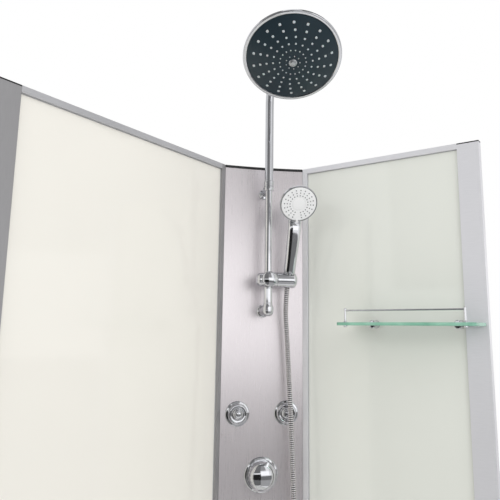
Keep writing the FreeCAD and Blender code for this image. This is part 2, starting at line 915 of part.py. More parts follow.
# The upper tube runs straight up, bends over and comes down to the rain head's ball
bend_degrees = 180 - head_lean_angle
lean = math.radians(float(head_lean_angle))
bend = math.radians(float(bend_degrees))
bend_end_out = arm_radius * (1 - math.cos(bend))
bend_end_height = arm_start + arm_radius * math.sin(bend)
tip_way = (math.sin(lean), -math.cos(lean))
upper_tube = new_body("upper_tube", riser_frame)
section = new_sketch(upper_tube, "XY_Plane", upper_bottom)
draw_circles(section, [(0, 0, upper_radius), (0, 0, upper_bore)])
route = new_sketch(upper_tube, "XZ_Plane")
bend_centre = V(float(arm_radius), float(arm_start), 0)
bend_circle = Part.Circle(bend_centre, UP, float(arm_radius))
straight_top = V(0, float(arm_start), 0)
bend_end = V(float(bend_end_out), float(bend_end_height), 0)
tip_end = bend_end + V(*tip_way, 0) * float(arm_tip)
route.addGeometry(
    [
        Part.LineSegment(V(0, float(upper_bottom), 0), straight_top),
        Part.ArcOfCircle(bend_circle, math.pi - bend, math.pi),
        Part.LineSegment(bend_end, tip_end),
    ],
    False,
)
route_limits = [
    Sketcher.Constraint("Coincident", 0, 2, 1, 2),
    Sketcher.Constraint("Coincident", 1, 1, 2, 1),
    Sketcher.Constraint("PointOnObject", 0, 1, -2),
    Sketcher.Constraint("PointOnObject", 0, 2, -2),
    Sketcher.Constraint("DistanceY", 0, 1, float(upper_bottom)),
    Sketcher.Constraint("DistanceY", 0, 2, float(arm_start)),
    Sketcher.Constraint("Radius", 1, float(arm_radius)),
    Sketcher.Constraint("DistanceY", 1, 3, float(arm_start)),
    Sketcher.Constraint("DistanceX", 2, 1, bend_end.x),
    Sketcher.Constraint("DistanceX", 2, 2, tip_end.x),
    Sketcher.Constraint("DistanceY", 2, 2, tip_end.y),
]
route.addConstraint(route_limits)
for place, value in ((4, upper_bottom), (5, arm_start), (6, arm_radius), (7, arm_start)):
    route.setExpression(f"Constraints[{place}]", value.text)
upper_pipe = upper_tube.newObject("PartDesign::AdditivePipe", "upper_pipe")
upper_pipe.Profile = section
upper_pipe.Spine = (route, ["Edge1", "Edge2", "Edge3"])
piece(upper_tube, "riser_tube_upper")

# Ball joint at the arm's tip. The nut holds the ball in a round cup and lets its stem lean.
ball_radius = size("ball_radius", 9)
cup_gap = size("cup_gap", 0.3)
ball_ahead = size("ball_ahead", 14)
nut_radius = size("nut_radius", 14)
nut_over = size("nut_over", 8)
nut_nose = size("nut_nose", 6)
nut_nose_radius = size("nut_nose_radius", 10.5)
nut_mouth = size("nut_mouth", 8)
stem_radius = size("stem_radius", 5)
head_side_angle = size("head_side_angle", -7.9)
ball_to_rim = size("ball_to_rim", 45)
cup_radius = ball_radius + cup_gap
arm_direction = OUT * tip_way[0] + UP * tip_way[1]
tip_point = column_point(0, riser_out, 0) + OUT * tip_end.x + UP * tip_end.y
ball_point = tip_point + arm_direction * float(ball_ahead)
mouth_height = root_of(cup_radius * cup_radius - nut_mouth * nut_mouth)
ball_nut = turned(
    "ball_nut",
    framed(ball_point, arm_direction, SIDEWAYS),
    [
        (upper_radius + running_gap, -ball_ahead - nut_over),
        (nut_radius, -ball_ahead - nut_over),
        (nut_radius, 0),
        (nut_nose_radius, nut_nose),
        (nut_mouth, nut_nose),
        (nut_mouth, mouth_height),
        (cup_radius, 0, cup_radius, -1),
        (0, -cup_radius, cup_radius, -1),
        (0, seat_gap - ball_ahead),
        (upper_radius + running_gap, seat_gap - ball_ahead),
    ],
)
piece(ball_nut, "ball_nut")

# Rain head, about its own axis: the face looks along -Z and bulges, and the stem stands behind it
head_radius = size("head_radius", 120)
face_radius = size("face_radius", 111)
face_bulge = size("face_bulge", 25.7)
face_thickness = size("face_thickness", 3)
rim_lip = size("rim_lip", 4.5)
neck_radius = size("neck_radius", 12)
neck_top = size("neck_top", 34)
neck_foot = size("neck_foot", 25)
shell_skin = size("shell_skin", 2.5)
shell_edge = size("shell_edge", 5)
shell_curve = size("shell_curve", 400)
screw_radius = size("screw_radius", 10)
screw_height = size("screw_height", 4.5)
screw_shank = size("screw_shank", 4)
screw_end = size("screw_end", 18)
side_turn = math.radians(float(head_side_angle))
head_forward = OUT * math.cos(side_turn) + SIDEWAYS * math.sin(side_turn)
head_facing = head_forward * math.sin(lean) - UP * math.cos(lean)
head_frame = framed(ball_point + head_facing * float(ball_to_rim), -head_facing, SIDEWAYS)
dome_radius = (head_radius * head_radius + face_bulge * face_bulge) / (face_bulge * 2)
dome_inner = dome_radius - face_thickness
dome_centre = dome_radius - face_bulge


def dome_height(radius, sphere):
    return dome_centre - root_of(sphere * sphere - radius * radius)


ledge = dome_height(face_radius, dome_inner) + seat_gap
head_shell = turned(
    "head_shell",
    head_frame,
    [
        (stem_radius + running_gap, neck_foot - shell_skin),
        (neck_radius, neck_foot - shell_skin),
        (head_radius - shell_edge - shell_skin, shell_edge - shell_skin, shell_curve, -1),
        (head_radius - shell_edge - shell_skin, ledge),
        (face_radius + seat_gap, ledge),
        (face_radius + seat_gap, -rim_lip),
        (head_radius - rim_lip / 3, -rim_lip),
        (head_radius, -rim_lip / 2),
        (head_radius, shell_edge / 2),
        (head_radius - shell_edge, shell_edge),
        (neck_radius, neck_foot, shell_curve, 1),
        (neck_radius, neck_top),
        (stem_radius + running_gap, neck_top),
    ],
)
piece(head_shell, "rain_head_shell")
stem_low = neck_foot - shell_skin
stem_join = root_of(ball_radius * ball_radius - stem_radius * stem_radius)
ball_stem = turned(
    "ball_stem",
    head_frame,
    [
        (0, stem_low),
        (stem_radius, stem_low),
        (stem_radius, ball_to_rim - stem_join),
        (ball_radius, ball_to_rim, ball_radius, 1),
        (0, ball_to_rim + ball_radius, ball_radius, 1),
    ],
)
piece(ball_stem, "ball_stem")
face = turned(
    "face",
    head_frame,
    [
        (screw_shank + seat_gap, dome_height(screw_shank + seat_gap, dome_radius)),
        (face_radius, dome_height(face_radius, dome_radius), dome_radius, 1),
        (face_radius, dome_height(face_radius, dome_inner)),
        (screw_shank + seat_gap, dome_height(screw_shank + seat_gap, dome_inner), dome_inner, -1),
    ],
)
head_screw = turned(
    "head_screw",
    head_frame,
    [
        (0, -face_bulge - seat_gap - screw_height),
        (screw_radius * 0.6, -face_bulge - seat_gap - screw_height * 0.9),
        (screw_radius, -face_bulge - seat_gap - screw_height * 0.4),
        (screw_radius, -face_bulge - seat_gap),
        (screw_shank, -face_bulge - seat_gap),
        (screw_shank, screw_end),
        (0, screw_end),
    ],
)
piece(head_screw, "rain_head_screw")

# Nozzles: five rings of eighteen and an inner ring of nine, on slightly swirling spokes
nozzle_ring_shares = (0.265, 0.396, 0.526, 0.657, 0.79)
nozzle_width_shares = (0.6, 0.7, 0.8, 0.9, 1.0)
nozzle_inner_share = 0.14
nozzle_inner_width_share = 0.45
nozzle_width = size("nozzle_width", 5.2)
nozzle_stand = size("nozzle_stand", 1.2)
nozzle_play = size("nozzle_play", 0.2)
nozzle_swirl_angle = 2.2
nozzle_first_angle = 8.5
nozzle_rows = [(head_radius * s, w, 18) for s, w in zip(nozzle_ring_shares, nozzle_width_shares)]
nozzle_rows.insert(0, (head_radius * nozzle_inner_share, nozzle_inner_width_share, 9))
centre_point = V(0, 0, float(dome_centre))


# A square peg through the face at one place, standing along the dome's own radius there.
def peg(radius, angle, side, low, high):
    slope = math.asin(float(radius) / float(dome_radius))
    direction = V(math.sin(slope) * math.cos(angle), math.sin(slope) * math.sin(angle), -math.cos(slope))
    made = Part.makeBox(side, side, high - low, V(-side / 2, -side / 2, low))
    made.Placement = framed(centre_point, direction, V(-direction.y, direction.x, 0))
    return made


pegs, peg_holes = [], []
for row, (row_radius, width_share, count) in enumerate(nozzle_rows):
    side = float(nozzle_width * width_share)
    for i in range(count):
        angle = -math.radians(nozzle_first_angle + nozzle_swirl_angle * row + 360.0 * i / count)
        inner, outer = float(dome_inner - nozzle_play), float(dome_radius + nozzle_stand)
        pegs.append(peg(row_radius, angle, side, inner, outer))
        play = float(nozzle_play)
        peg_holes.append(peg(row_radius, angle, side + play * 2, inner - side, outer + side))
doc.recompute()
drilled = group("drilled_face", [face.Shape])
local_face = face.Shape.copy()
local_face.Placement = FreeCAD.Placement()
drilled.Shape = local_face.cut(peg_holes).Solids[0]
drilled.Placement = head_frame
piece(drilled, "rain_head_face")
nozzles = group("nozzles", pegs)
nozzles.Placement = head_frame
piece(nozzles, "rain_head_nozzles")

# Slider: a chrome barrel across the lower tube, its clamp knob and the turning holder at its right end
slider_left = size("slider_left", 31.5)
slider_split = size("slider_split", 24)
slider_end_radius = size("slider_end_radius", 19)
holder_end = size("holder_end", 81)
holder_round = size("holder_round", 17.5)
knob_radius = size("knob_radius", 21)
knob_height = size("knob_height", 11)
knob_stem = size("knob_stem", 5)
holder_side = size("holder_side", 57)
barrel_frame = framed(column_point(0, riser_out, slider_height), SIDEWAYS, OUT)
slider = turned(
    "slider",
    barrel_frame,
    [
        (0, -slider_left),
        (slider_end_radius * 0.7, -slider_left),
        (slider_end_radius, -slider_left * 0.8),
        (slider_end_radius, -slider_left * 0.35),
        (slider_radius, -slider_left * 0.3),
        (slider_radius, slider_split),
        (0, slider_split),
    ],
)
pierce(slider, "XZ_Plane", [(0, 0, lower_radius + running_gap)])
pocket(slider, "YZ_Plane", [], slider_radius + overrun, circles=[(0, 0, knob_stem + seat_gap)], forward=True)
piece(slider, "slider_body")
knob_seat = riser_out + slider_radius + seat_gap
knob = turned(
    "knob",
    facing_out(0, 0, slider_height),
    [
        (0, riser_out + lower_radius + seat_gap),
        (knob_stem, riser_out + lower_radius + seat_gap),
        (knob_stem, knob_seat),
        (knob_radius * 0.9, knob_seat),
        (knob_radius, knob_seat + knob_height * 0.2),
        (knob_radius, knob_seat + knob_height * 0.7),
        (knob_radius * 0.88, knob_seat + knob_height),
        (0, knob_seat + knob_height),
    ],
)
piece(knob, "slider_clamp_knob")

# Handset: it leans out of the holder, and its face leans further
handle_lean_angle = size("handle_lean_angle", 18)
handle_side_angle = size("handle_side_angle", 3)
face_lean_angle = size("face_lean_angle", 34)
face_along = size("face_along", 214.8)
face_ahead = size("face_ahead", 11.3)
bore_low = size("bore_low", 10.5)
bore_high = size("bore_high", 15.5)
bore_reach = size("bore_reach", 26)
connector_low = size("connector_low", 18)
handle_foot = size("handle_foot", 21.5)
tilt = [math.radians(float(a)) for a in (handle_side_angle, handle_lean_angle, face_lean_angle)]
handle_way = SIDEWAYS * math.sin(tilt[0]) + (OUT * math.sin(tilt[1]) + UP * math.cos(tilt[1])) * math.cos(tilt[0])
holder_point = column_point(holder_side, riser_out, slider_height)
handle_frame = framed(holder_point, handle_way, SIDEWAYS)
holder_barrel = turned(
    "holder_barrel",
    barrel_frame,
    [
        (0, slider_split + seat_gap),
        (slider_radius, slider_split + seat_gap),
        (slider_radius, holder_end - holder_round * 0.7),
        (slider_radius * 0.86, holder_end - holder_round * 0.25),
        (slider_radius * 0.55, holder_end),
        (0, holder_end),
    ],
)
bore = doc.addObject("Part::Cone", "holder_bore")
for prop, value in (("Radius1", bore_low), ("Radius2", bore_high), ("Height", bore_reach * 2)):
    setattr(bore, prop, float(value))
    bore.setExpression(prop, value.text)
bore.Placement = framed(holder_point - handle_way * float(bore_reach), handle_way, SIDEWAYS)
piece(cut("holder", holder_barrel, bore), "hand_holder")
bore_slope = (bore_high - bore_low) / (bore_reach * 2)
connector_bottom = bore_low + bore_slope * (bore_reach - connector_low) - seat_gap
connector_top = bore_low + bore_slope * (bore_reach + handle_foot) - seat_gap
connector = turned(
    "connector",
    handle_frame,
    [
        (0, -connector_low),
        (connector_bottom, -connector_low),
        (connector_top, handle_foot),
        (0, handle_foot),
    ],
)
piece(connector, "handset_connector")

# The handle is lofted through five ovals: (share of the way up, width, depth, step back)
handle_top = size("handle_top", 178)
handle_width = size("handle_width", 37)
handle_depth = size("handle_depth", 28)
handle_step = size("handle_step", 18)
handle_oval_shares = (
    (0.0, 0.87, 1.0, 0.0),
    (0.45, 0.9, 0.96, 0.12),
    (0.8, 1.0, 0.82, 0.62),
    (1.0, 1.0, 0.62, 1.0),
    (1.12, 0.8, 0.3, 0.55),
)
ovals = []
for i, (up_share, wide_share, deep_share, back_share) in enumerate(handle_oval_shares):
    oval = doc.addObject("Part::Ellipse", f"handle_oval_{i}")
    wide, deep = handle_width * wide_share / 2, handle_depth * deep_share / 2
    oval.MajorRadius, oval.MinorRadius = float(wide), float(deep)
    oval.setExpression("MajorRadius", wide.text)
    oval.setExpression("MinorRadius", deep.text)
    rise = handle_foot + running_gap + (handle_top - handle_foot) * up_share
    oval.Placement = handle_frame.multiply(
        FreeCAD.Placement(V(0, float(handle_step * back_share), float(rise)), FreeCAD.Rotation())
    )
    ovals.append(oval)
handle = doc.addObject("Part::Loft", "handle")
handle.Sections = ovals
handle.Solid = True
shell_radius = size("shell_radius", 52)
shell_depth = size("shell_depth", 22)
ring_width = size("ring_width", 3)
plate_depth = size("plate_depth", 4)
plate_inner = size("plate_inner", 18)
tab_width = size("tab_width", 6)
tab_reach = size("tab_reach", 55)
tab_height = size("tab_height", 3)
shell_facing = OUT * math.cos(tilt[2]) - UP * math.sin(tilt[2])
face_point = handle_frame.multVec(V(0, -float(face_ahead), float(face_along)))
face_frame = framed(face_point, shell_facing, SIDEWAYS)
shell_back = turned(
    "shell_back",
    face_frame,
    [
        (0, -shell_depth),
        (shell_radius * 0.45, -shell_depth),
        (shell_radius * 0.95, -shell_depth * 0.45, shell_radius, 1),
        (shell_radius, -shell_depth * 0.3),
        (shell_radius, -plate_depth * 0.2),
        (shell_radius - ring_width * 0.4, 0),
        (shell_radius - ring_width, 0),
        (shell_radius - ring_width, -plate_depth),
        (0, -plate_depth),
    ],
)
piece(fuse("handset", [handle, shell_back]), "handset_shell")
plate = turned(
    "plate",
    face_frame,
    [
        (plate_inner + running_gap * 2, seat_gap - plate_depth),
        (shell_radius - ring_width - seat_gap, seat_gap - plate_depth),
        (shell_radius - ring_width - seat_gap, 0),
        (plate_inner + running_gap * 2, ring_width * 0.4),
    ],
)
pad(
    plate,
    "XY_Plane",
    [rectangle(-tab_width / 2, -tab_reach, tab_width / 2, tab_width - shell_radius)],
    tab_height,
    seat_gap,
)
pad(
    plate,
    "XY_Plane",
    [rectangle(-tab_width / 2, -shell_radius * 0.93, tab_width / 2, tab_width * 1.5 - shell_radius)],
    tab_height,
    -ring_width / 2,
)
piece(plate, "handset_selector")
hub = turned(
    "hub",
    face_frame,
    [
        (0, seat_gap - plate_depth),
        (plate_inner, seat_gap - plate_depth),
        (plate_inner, ring_width * 0.4),
        (0, ring_width * 0.6),
    ],
)
piece(hub, "handset_hub")

# Body jets: a threaded body behind the panel, a ring in front and a ball that swivels between them
jet_body_radius = size("jet_body_radius", 17)
jet_body_depth = size("jet_body_depth", 40)
jet_ball_radius = size("jet_ball_radius", 15)
jet_ball_out = size("jet_ball_out", 6.5)
jet_ring_radius = size("jet_ring_radius", 34)
jet_ring_height = size("jet_ring_height", 12.5)
jet_lip = size("jet_lip", 1.6)
jet_nose = size("jet_nose", 12)
jet_tip = size("jet_tip", 15)
jet_nut_radius = size("jet_nut_radius", 21)
jet_nut_height = size("jet_nut_height", 6)
jet_cup = jet_ball_radius + seat_gap
ring_seat = panel_face(jet_ring_radius) + panel_sag + seat_gap / 2
body_front = ring_seat - seat_gap
jet_cup_mouth = root_of(jet_cup * jet_cup - (jet_ball_out - body_front) * (jet_ball_out - body_front))
jet_face = root_of(jet_ball_radius * jet_ball_radius - jet_nose * jet_nose)
jet_lip_rise = jet_ring_height - jet_lip - jet_ball_out
jet_lip_radius = root_of(jet_ball_radius * jet_ball_radius - jet_lip_rise * jet_lip_rise) + seat_gap * 2
jet_shapes = {"bodies": [], "rings": [], "nuts": []}
jet_balls = []
for side_name, side in (("left", -1), ("right", 1)):
    place = on_panel(jet_offset * side, jet_height)
    made = turned(
        f"jet_body_{side_name}",
        place,
        [
            (0, -jet_body_depth),
            (jet_body_radius, -jet_body_depth),
            (jet_body_radius, body_front),
            (jet_cup_mouth, body_front),
            (0, jet_ball_out - jet_cup, jet_cup, -1),
        ],
    )
    jet_shapes["bodies"].append(made)
    made = turned(
        f"jet_ring_{side_name}",
        place,
        [
            (jet_cup, ring_seat),
            (jet_ring_radius, ring_seat),
            (jet_ring_radius, ring_seat + jet_lip),
            (jet_ring_radius * 0.72, jet_ring_height * 0.62, jet_ring_radius, 1),
            (jet_ring_radius * 0.66, jet_ring_height),
            (jet_lip_radius, jet_ring_height),
            (jet_lip_radius, jet_ring_height - jet_lip),
            (jet_cup, jet_ring_height - jet_lip * 1.4),
        ],
    )
    jet_shapes["rings"].append(made)
    nut_top = -panel_thickness - seat_gap
    made = turned(
        f"jet_nut_{side_name}",
        place,
        ring(jet_body_radius + running_gap, jet_nut_radius, nut_top - jet_nut_height, nut_top),
    )
    jet_shapes["nuts"].append(made)
    made = turned(
        f"jet_ball_{side_name}",
        place,
        [
            (0, jet_ball_out - jet_ball_radius),
            (jet_ball_radius, jet_ball_out, jet_ball_radius, 1),
            (jet_face, jet_ball_out + jet_nose, jet_ball_radius, 1),
            (jet_face * 0.8, jet_ball_out + jet_tip),
            (0, jet_ball_out + jet_tip),
        ],
    )
    jet_balls.append(piece(made, f"jet_ball_{side_name}"))
doc.recompute()
for part_name, label in (("bodies", "jet_bodies"), ("rings", "jet_rings"), ("nuts", "jet_backnuts")):
    piece(group(f"jet_{part_name}", [b.Shape for b in jet_shapes[part_name]]), label)

# Mixer and diverter: brass bodies behind the panel, cartridges through it, plates and handles in front
valve_axis = size("valve_axis", -38)
mixer_radius = size("mixer_radius", 25)
mixer_depth = size("mixer_depth", 52)
cartridge_radius = size("cartridge_radius", 17.5)
cartridge_depth = size("cartridge_depth", 42)
cartridge_front = size("cartridge_front", 2)
spindle_radius = size("spindle_radius", 5)
spindle_end = size("spindle_end", 22)
cross_radius = size("cross_radius", 13)
cross_reach = size("cross_reach", 48)
inlet_spread = size("inlet_spread", 33)
inlet_radius = size("inlet_radius", 10.5)
inlet_reach = size("inlet_reach", 33)
inlet_collar = size("inlet_collar", 16)
inlet_collar_radius = size("inlet_collar_radius", 14)
stub_radius = size("stub_radius", 8)
stub_reach = size("stub_reach", 45)
mixer_plate = size("mixer_plate", 47)
plate_height = size("plate_height", 5)
handle_radius = size("handle_radius", 38.5)
handle_height = size("handle_height", 36)
handle_gap = size("handle_gap", 1)
lever_width = size("lever_width", 7)
lever_reach = size("lever_reach", 45)
lever_height = size("lever_height", 14)
diverter_radius = size("diverter_radius", 20)
diverter_depth = size("diverter_depth", 55)
diverter_cartridge = size("diverter_cartridge", 13)
diverter_stub = size("diverter_stub", 32)
diverter_plate = size("diverter_plate", 33)
diverter_knob_radius = size("diverter_knob_radius", 23)
diverter_knob_height = size("diverter_knob_height", 26)
valve_front = panel_back - seat_gap


# A vertical rod behind the panel, from one height down to another, at a place across and out.
def drop(name, sideways, out, top, bottom, radius):
    return rod(name, framed(column_point(sideways, out, bottom), UP, SIDEWAYS), radius, top - bottom)


def across(name, start, end, out, height, radius):
    return rod(name, framed(column_point(start, out, height), SIDEWAYS, UP), radius, end - start)


# A rod that points back towards the room's corner from the valves' axis.
def backward(name, sideways, height, radius, length):
    return rod(name, framed(column_point(sideways, valve_axis, height), -OUT, UP), radius, length)


mixer_barrel = turned(
    "mixer_barrel",
    facing_out(0, 0, mixer_height),
    [(0, -mixer_depth), (mixer_radius, -mixer_depth), (mixer_radius, valve_front), (0, valve_front)],
)
mixer_whole = fuse(
    "mixer_whole",
    [
        mixer_barrel,
        across("mixer_cross", -cross_reach, cross_reach, valve_axis, mixer_height, cross_radius),
        backward("hot_collar", -inlet_spread, mixer_height, inlet_collar_radius, inlet_collar),
        backward("cold_collar", inlet_spread, mixer_height, inlet_collar_radius, inlet_collar),
        backward("hot_tail", -inlet_spread, mixer_height, inlet_radius, inlet_reach),
        backward("cold_tail", inlet_spread, mixer_height, inlet_radius, inlet_reach),
        drop("mixer_stub", 0, valve_axis, mixer_height, mixer_height - stub_reach, stub_radius),
    ],
)
mixer_bore = rod(
    "mixer_bore",
    facing_out(0, -cartridge_depth, mixer_height),
    cartridge_radius + running_gap,
    cartridge_depth,
)
piece(cut("mixer_cast", mixer_whole, mixer_bore), "mixer_body")
cartridge = turned(
    "cartridge",
    facing_out(0, 0, mixer_height),
    [
        (0, seat_gap - cartridge_depth),
        (cartridge_radius, seat_gap - cartridge_depth),
        (cartridge_radius, -cartridge_front),
        (0, -cartridge_front),
    ],
)


# A round cover plate with a raised edge and a hole for the spindle, seated on the panel by its rim.
def cover_plate(name, height, radius, hole):
    seat = rim_seat(radius)
    return turned(
        name,
        facing_out(0, 0, height),
        [
            (hole, seat),
            (radius, seat),
            (radius, seat + plate_height * 0.35),
            (radius * 0.93, seat + plate_height * 0.8),
            (radius * 0.85, seat + plate_height),
            (hole, seat + plate_height),
        ],
    )


piece(cover_plate("mixer_disc", mixer_height, mixer_plate, cartridge_radius + seat_gap), "mixer_plate")
plate_top = rim_seat(mixer_plate) + plate_height
handle_back = plate_top + handle_gap
mixer_handle = turned(
    "mixer_dome",
    facing_out(0, 0, mixer_height),
    [
        (spindle_radius + running_gap, handle_back),
        (handle_radius, handle_back),
        (handle_radius, handle_back + handle_height * 0.35),
        (handle_radius * 0.62, handle_back + handle_height * 0.93, handle_radius, 1),
        (0, handle_back + handle_height),
        (0, spindle_end + seat_gap),
        (spindle_radius + running_gap, spindle_end + seat_gap),
    ],
)
lever_low = handle_back + handle_height * 0.2
lever_loop = rectangle(-lever_width / 2, handle_radius * 0.8, lever_width / 2, lever_reach)
pad(mixer_handle, "XY_Plane", [lever_loop], lever_height, lever_low)
piece(mixer_handle, "mixer_handle")
spindle = turned(
    "spindle",
    facing_out(0, 0, mixer_height),
    [
        (0, seat_gap - cartridge_front),
        (spindle_radius, seat_gap - cartridge_front),
        (spindle_radius, spindle_end),
        (0, spindle_end),
    ],
)
piece(spindle, "mixer_spindle")

diverter_barrel = turned(
    "diverter_barrel",
    facing_out(0, 0, diverter_height),
    [(0, -diverter_depth), (diverter_radius, -diverter_depth), (diverter_radius, valve_front), (0, valve_front)],
)
diverter_whole = fuse(
    "diverter_whole",
    [
        diverter_barrel,
        across("diverter_arms", -diverter_stub, diverter_stub, valve_axis, diverter_height, stub_radius),
        drop(
            "diverter_upright",
            0,
            valve_axis,
            diverter_height + diverter_stub,
            diverter_height - diverter_stub,
            stub_radius,
        ),
    ],
)
diverter_bore = rod(
    "diverter_bore",
    facing_out(0, -cartridge_depth, diverter_height),
    diverter_cartridge + running_gap,
    cartridge_depth,
)
piece(cut("diverter_cast", diverter_whole, diverter_bore), "diverter_body")
diverter_insert = turned(
    "diverter_insert",
    facing_out(0, 0, diverter_height),
    [
        (0, seat_gap - cartridge_depth),
        (diverter_cartridge, seat_gap - cartridge_depth),
        (diverter_cartridge, -cartridge_front),
        (0, -cartridge_front),
    ],
)
doc.recompute()
piece(group("cartridges", [cartridge.Shape, diverter_insert.Shape]), "valve_cartridges")
diverter_disc = cover_plate("diverter_disc", diverter_height, diverter_plate, diverter_cartridge + seat_gap)
piece(diverter_disc, "diverter_plate")
knob_back = rim_seat(diverter_plate) + plate_height + handle_gap
diverter_knob = turned(
    "diverter_turn",
    facing_out(0, 0, diverter_height),
    [
        (0, seat_gap - cartridge_front),
        (spindle_radius, seat_gap - cartridge_front),
        (spindle_radius, knob_back),
        (diverter_knob_radius, knob_back),
        (diverter_knob_radius, knob_back + diverter_knob_height * 0.4),
        (diverter_knob_radius * 0.85, knob_back + diverter_knob_height),
        (0, knob_back + diverter_knob_height),
    ],
)
piece(diverter_knob, "diverter_knob")

# Elbow where the hose leaves the panel, and the nut that holds the hose to it
outlet_out = size("outlet_out", 38)
outlet_flange = size("outlet_flange", 24)
nut_height = size("nut_height", 15)
hose_nut_radius = size("hose_nut_radius", 11.5)
hose_radius = size("hose_radius", 7)
outlet_elbow = elbow("outlet_elbow", outlet_height, outlet_out, outlet_flange, -1)
piece(outlet_elbow, "outlet_elbow")
nut_face = outlet_height - elbow_rise - seat_gap
hose_nut = turned(
    "hose_nut",
    framed(column_point(0, outlet_out, 0), UP, SIDEWAYS),
    [
        (0, nut_face - nut_height),
        (hose_nut_radius * 0.8, nut_face - nut_height),
        (hose_nut_radius, nut_face - nut_height * 0.6),
        (hose_nut_radius, nut_face),
        (0, nut_face),
    ],
)
piece(hose_nut, "hose_nut")

# Holes in the panel for what passes through it
panel_holes = [
    (0, elbow_height, spigot_hole),
    (0, outlet_height, spigot_hole),
    (0, mixer_height, cartridge_radius + seat_gap),
    (0, diverter_height, diverter_cartridge + seat_gap),
    (-jet_offset, jet_height, jet_body_radius + panel_thickness / 4),
    (jet_offset, jet_height, jet_body_radius + panel_thickness / 4),
]
pierce(panel, "XZ_Plane", panel_holes)
piece(panel, "column_panel")

# Pipes behind the panel, each a run of straight lengths with rounded corners
pipe_radius = size("pipe_radius", 6)
pipe_bend = size("pipe_bend", 12)
pipe_wide = size("pipe_wide", 56)
pipe_near = size("pipe_near", 30)
pipe_turn_rise = size("pipe_turn_rise", 58)
pipe_turn_height = size("pipe_turn_height", 26)
tee_radius = size("tee_radius", 5)
tee_out = size("tee_out", -20)
tee_drop = size("tee_drop", 40)
pipe_turn_low = mixer_height + pipe_turn_rise
pipe_turn_high = pipe_turn_low + pipe_turn_height


# A wire through the points whose corners are arcs of that radius, or as large as their runs allow.
def rounded_wire(points, radius_at):
    edges, start = [], points[0]
    for i in range(1, len(points) - 1):
        before, here, after = points[i - 1], points[i], points[i + 1]
        way_in = (here - before).normalize()
        way_out = (after - here).normalize()
        half_turn = way_in.getAngle(way_out) / 2
        radius = radius_at(before, here, after, half_turn)
        back = radius * math.tan(half_turn)
        enter, leave = here - way_in * back, here + way_out * back
        bisector = (way_out - way_in).normalize()
        middle = here + bisector * (radius / math.cos(half_turn) - radius)
        edges.append(Part.LineSegment(start, enter).toShape())
        edges.append(Part.Arc(enter, middle, leave).toShape())
        start = leave
    edges.append(Part.LineSegment(start, points[-1]).toShape())
    return Part.Wire(edges)


def swept(wire, radius):
    first = wire.Edges[0]
    start = first.valueAt(first.FirstParameter)
    way = first.tangentAt(first.FirstParameter)
    circle = Part.Wire(Part.Circle(start, way, float(radius)).toShape())
    return wire.makePipeShell([circle], True, False)


def pipe(points, radius):
    spots = [column_point(*p) for p in points]
    if len(spots) == 2:
        way = spots[1] - spots[0]
        return Part.makeCylinder(float(radius), way.Length, spots[0], way)
    return swept(rounded_wire(spots, lambda a, b, c, half: float(pipe_bend)), radius)


stub_end = diverter_stub + seat_gap
elbow_side = block_radius + seat_gap
jet_side = jet_offset - jet_body_radius - seat_gap * 4
internal = [
    pipe(
        [
            (0, valve_axis, mixer_height - stub_reach - seat_gap),
            (0, valve_axis, diverter_height + stub_end),
        ],
        pipe_radius,
    ),
    pipe(
        [
            (-stub_end, valve_axis, diverter_height),
            (-pipe_wide, valve_axis, diverter_height),
            (-pipe_wide, valve_axis, pipe_turn_low),
            (-pipe_near, valve_axis, pipe_turn_high),
            (-pipe_near, valve_axis, elbow_height),
            (-elbow_side, valve_axis, elbow_height),
        ],
        pipe_radius,
    ),
    pipe(
        [
            (stub_end, valve_axis, diverter_height),
            (pipe_wide, valve_axis, diverter_height),
            (pipe_wide, valve_axis, pipe_turn_low),
            (pipe_near, valve_axis, pipe_turn_high),
            (pipe_near, valve_axis, jet_height - tee_drop),
            (pipe_near, tee_out, jet_height - tee_drop / 2),
            (pipe_near, tee_out, jet_height - tee_radius - seat_gap),
        ],
        tee_radius,
    ),
    pipe(
        [
            (-jet_side, tee_out, jet_height),
            (jet_side, tee_out, jet_height),
        ],
        tee_radius,
    ),
    pipe(
        [
            (0, valve_axis, diverter_height - stub_end),
            (0, valve_axis, outlet_height + elbow_side),
        ],
        pipe_radius,
    ),
]
piece(group("internal_pipes", internal), "internal_pipes")

# Shower hose: down from the outlet's nut, round, and up to the handset along the handset's own axis.
# A spot of its route is (sideways, out, height above the nut), and those above the nut stretch with the rise.
hose_clear = size("hose_clear", 0.1)
hose_drop = size("hose_drop", 44)
hose_lead = size("hose_lead", 54)
hose_rise = size("hose_rise", 803.7)
hose_start = nut_face - nut_height - hose_clear
hose_route = [
    (-12, 40, -95),
    (-38, 43, -143),
    (-72.5, 47, -194),
    (-76, 52, -262),
    (-28, 58, -311),
    (39, 58, -310),
    (85, 55, -262),
    (86.5, 53, -190),
    (87, 51, -85),
    (85.5, 50, 30),
    (82.5, 49, 145),
    (79.5, 48, 245),
    (75, 47, 345),
    (70.5, 46.5, 460),
    (66, 43, 555),
    (61, 41, 660),
]
hose_foot = handle_frame.multVec(V(0, 0, -float(connector_low + hose_clear)))
hose_lead_end = handle_frame.multVec(V(0, 0, -float(connector_low + hose_lead)))
stretch = (hose_foot.z - float(hose_start)) / float(hose_rise)
hose_points = [column_point(0, outlet_out, hose_start), column_point(0, outlet_out, hose_start - hose_drop)]
for sideways, out, rise in hose_route:
    hose_points.append(column_point(sideways, out, float(hose_start) + rise * (stretch if rise > 0 else 1)))
hose_points += [hose_lead_end, hose_foot]


# Each arc of the hose is as large as its two runs allow.
def hose_bend(before, here, after, half_turn):
    shorter = min((here - before).Length, (after - here).Length)
    radius = 0.45 * shorter / math.tan(half_turn)
    hose_radii.append(radius)
    return radius


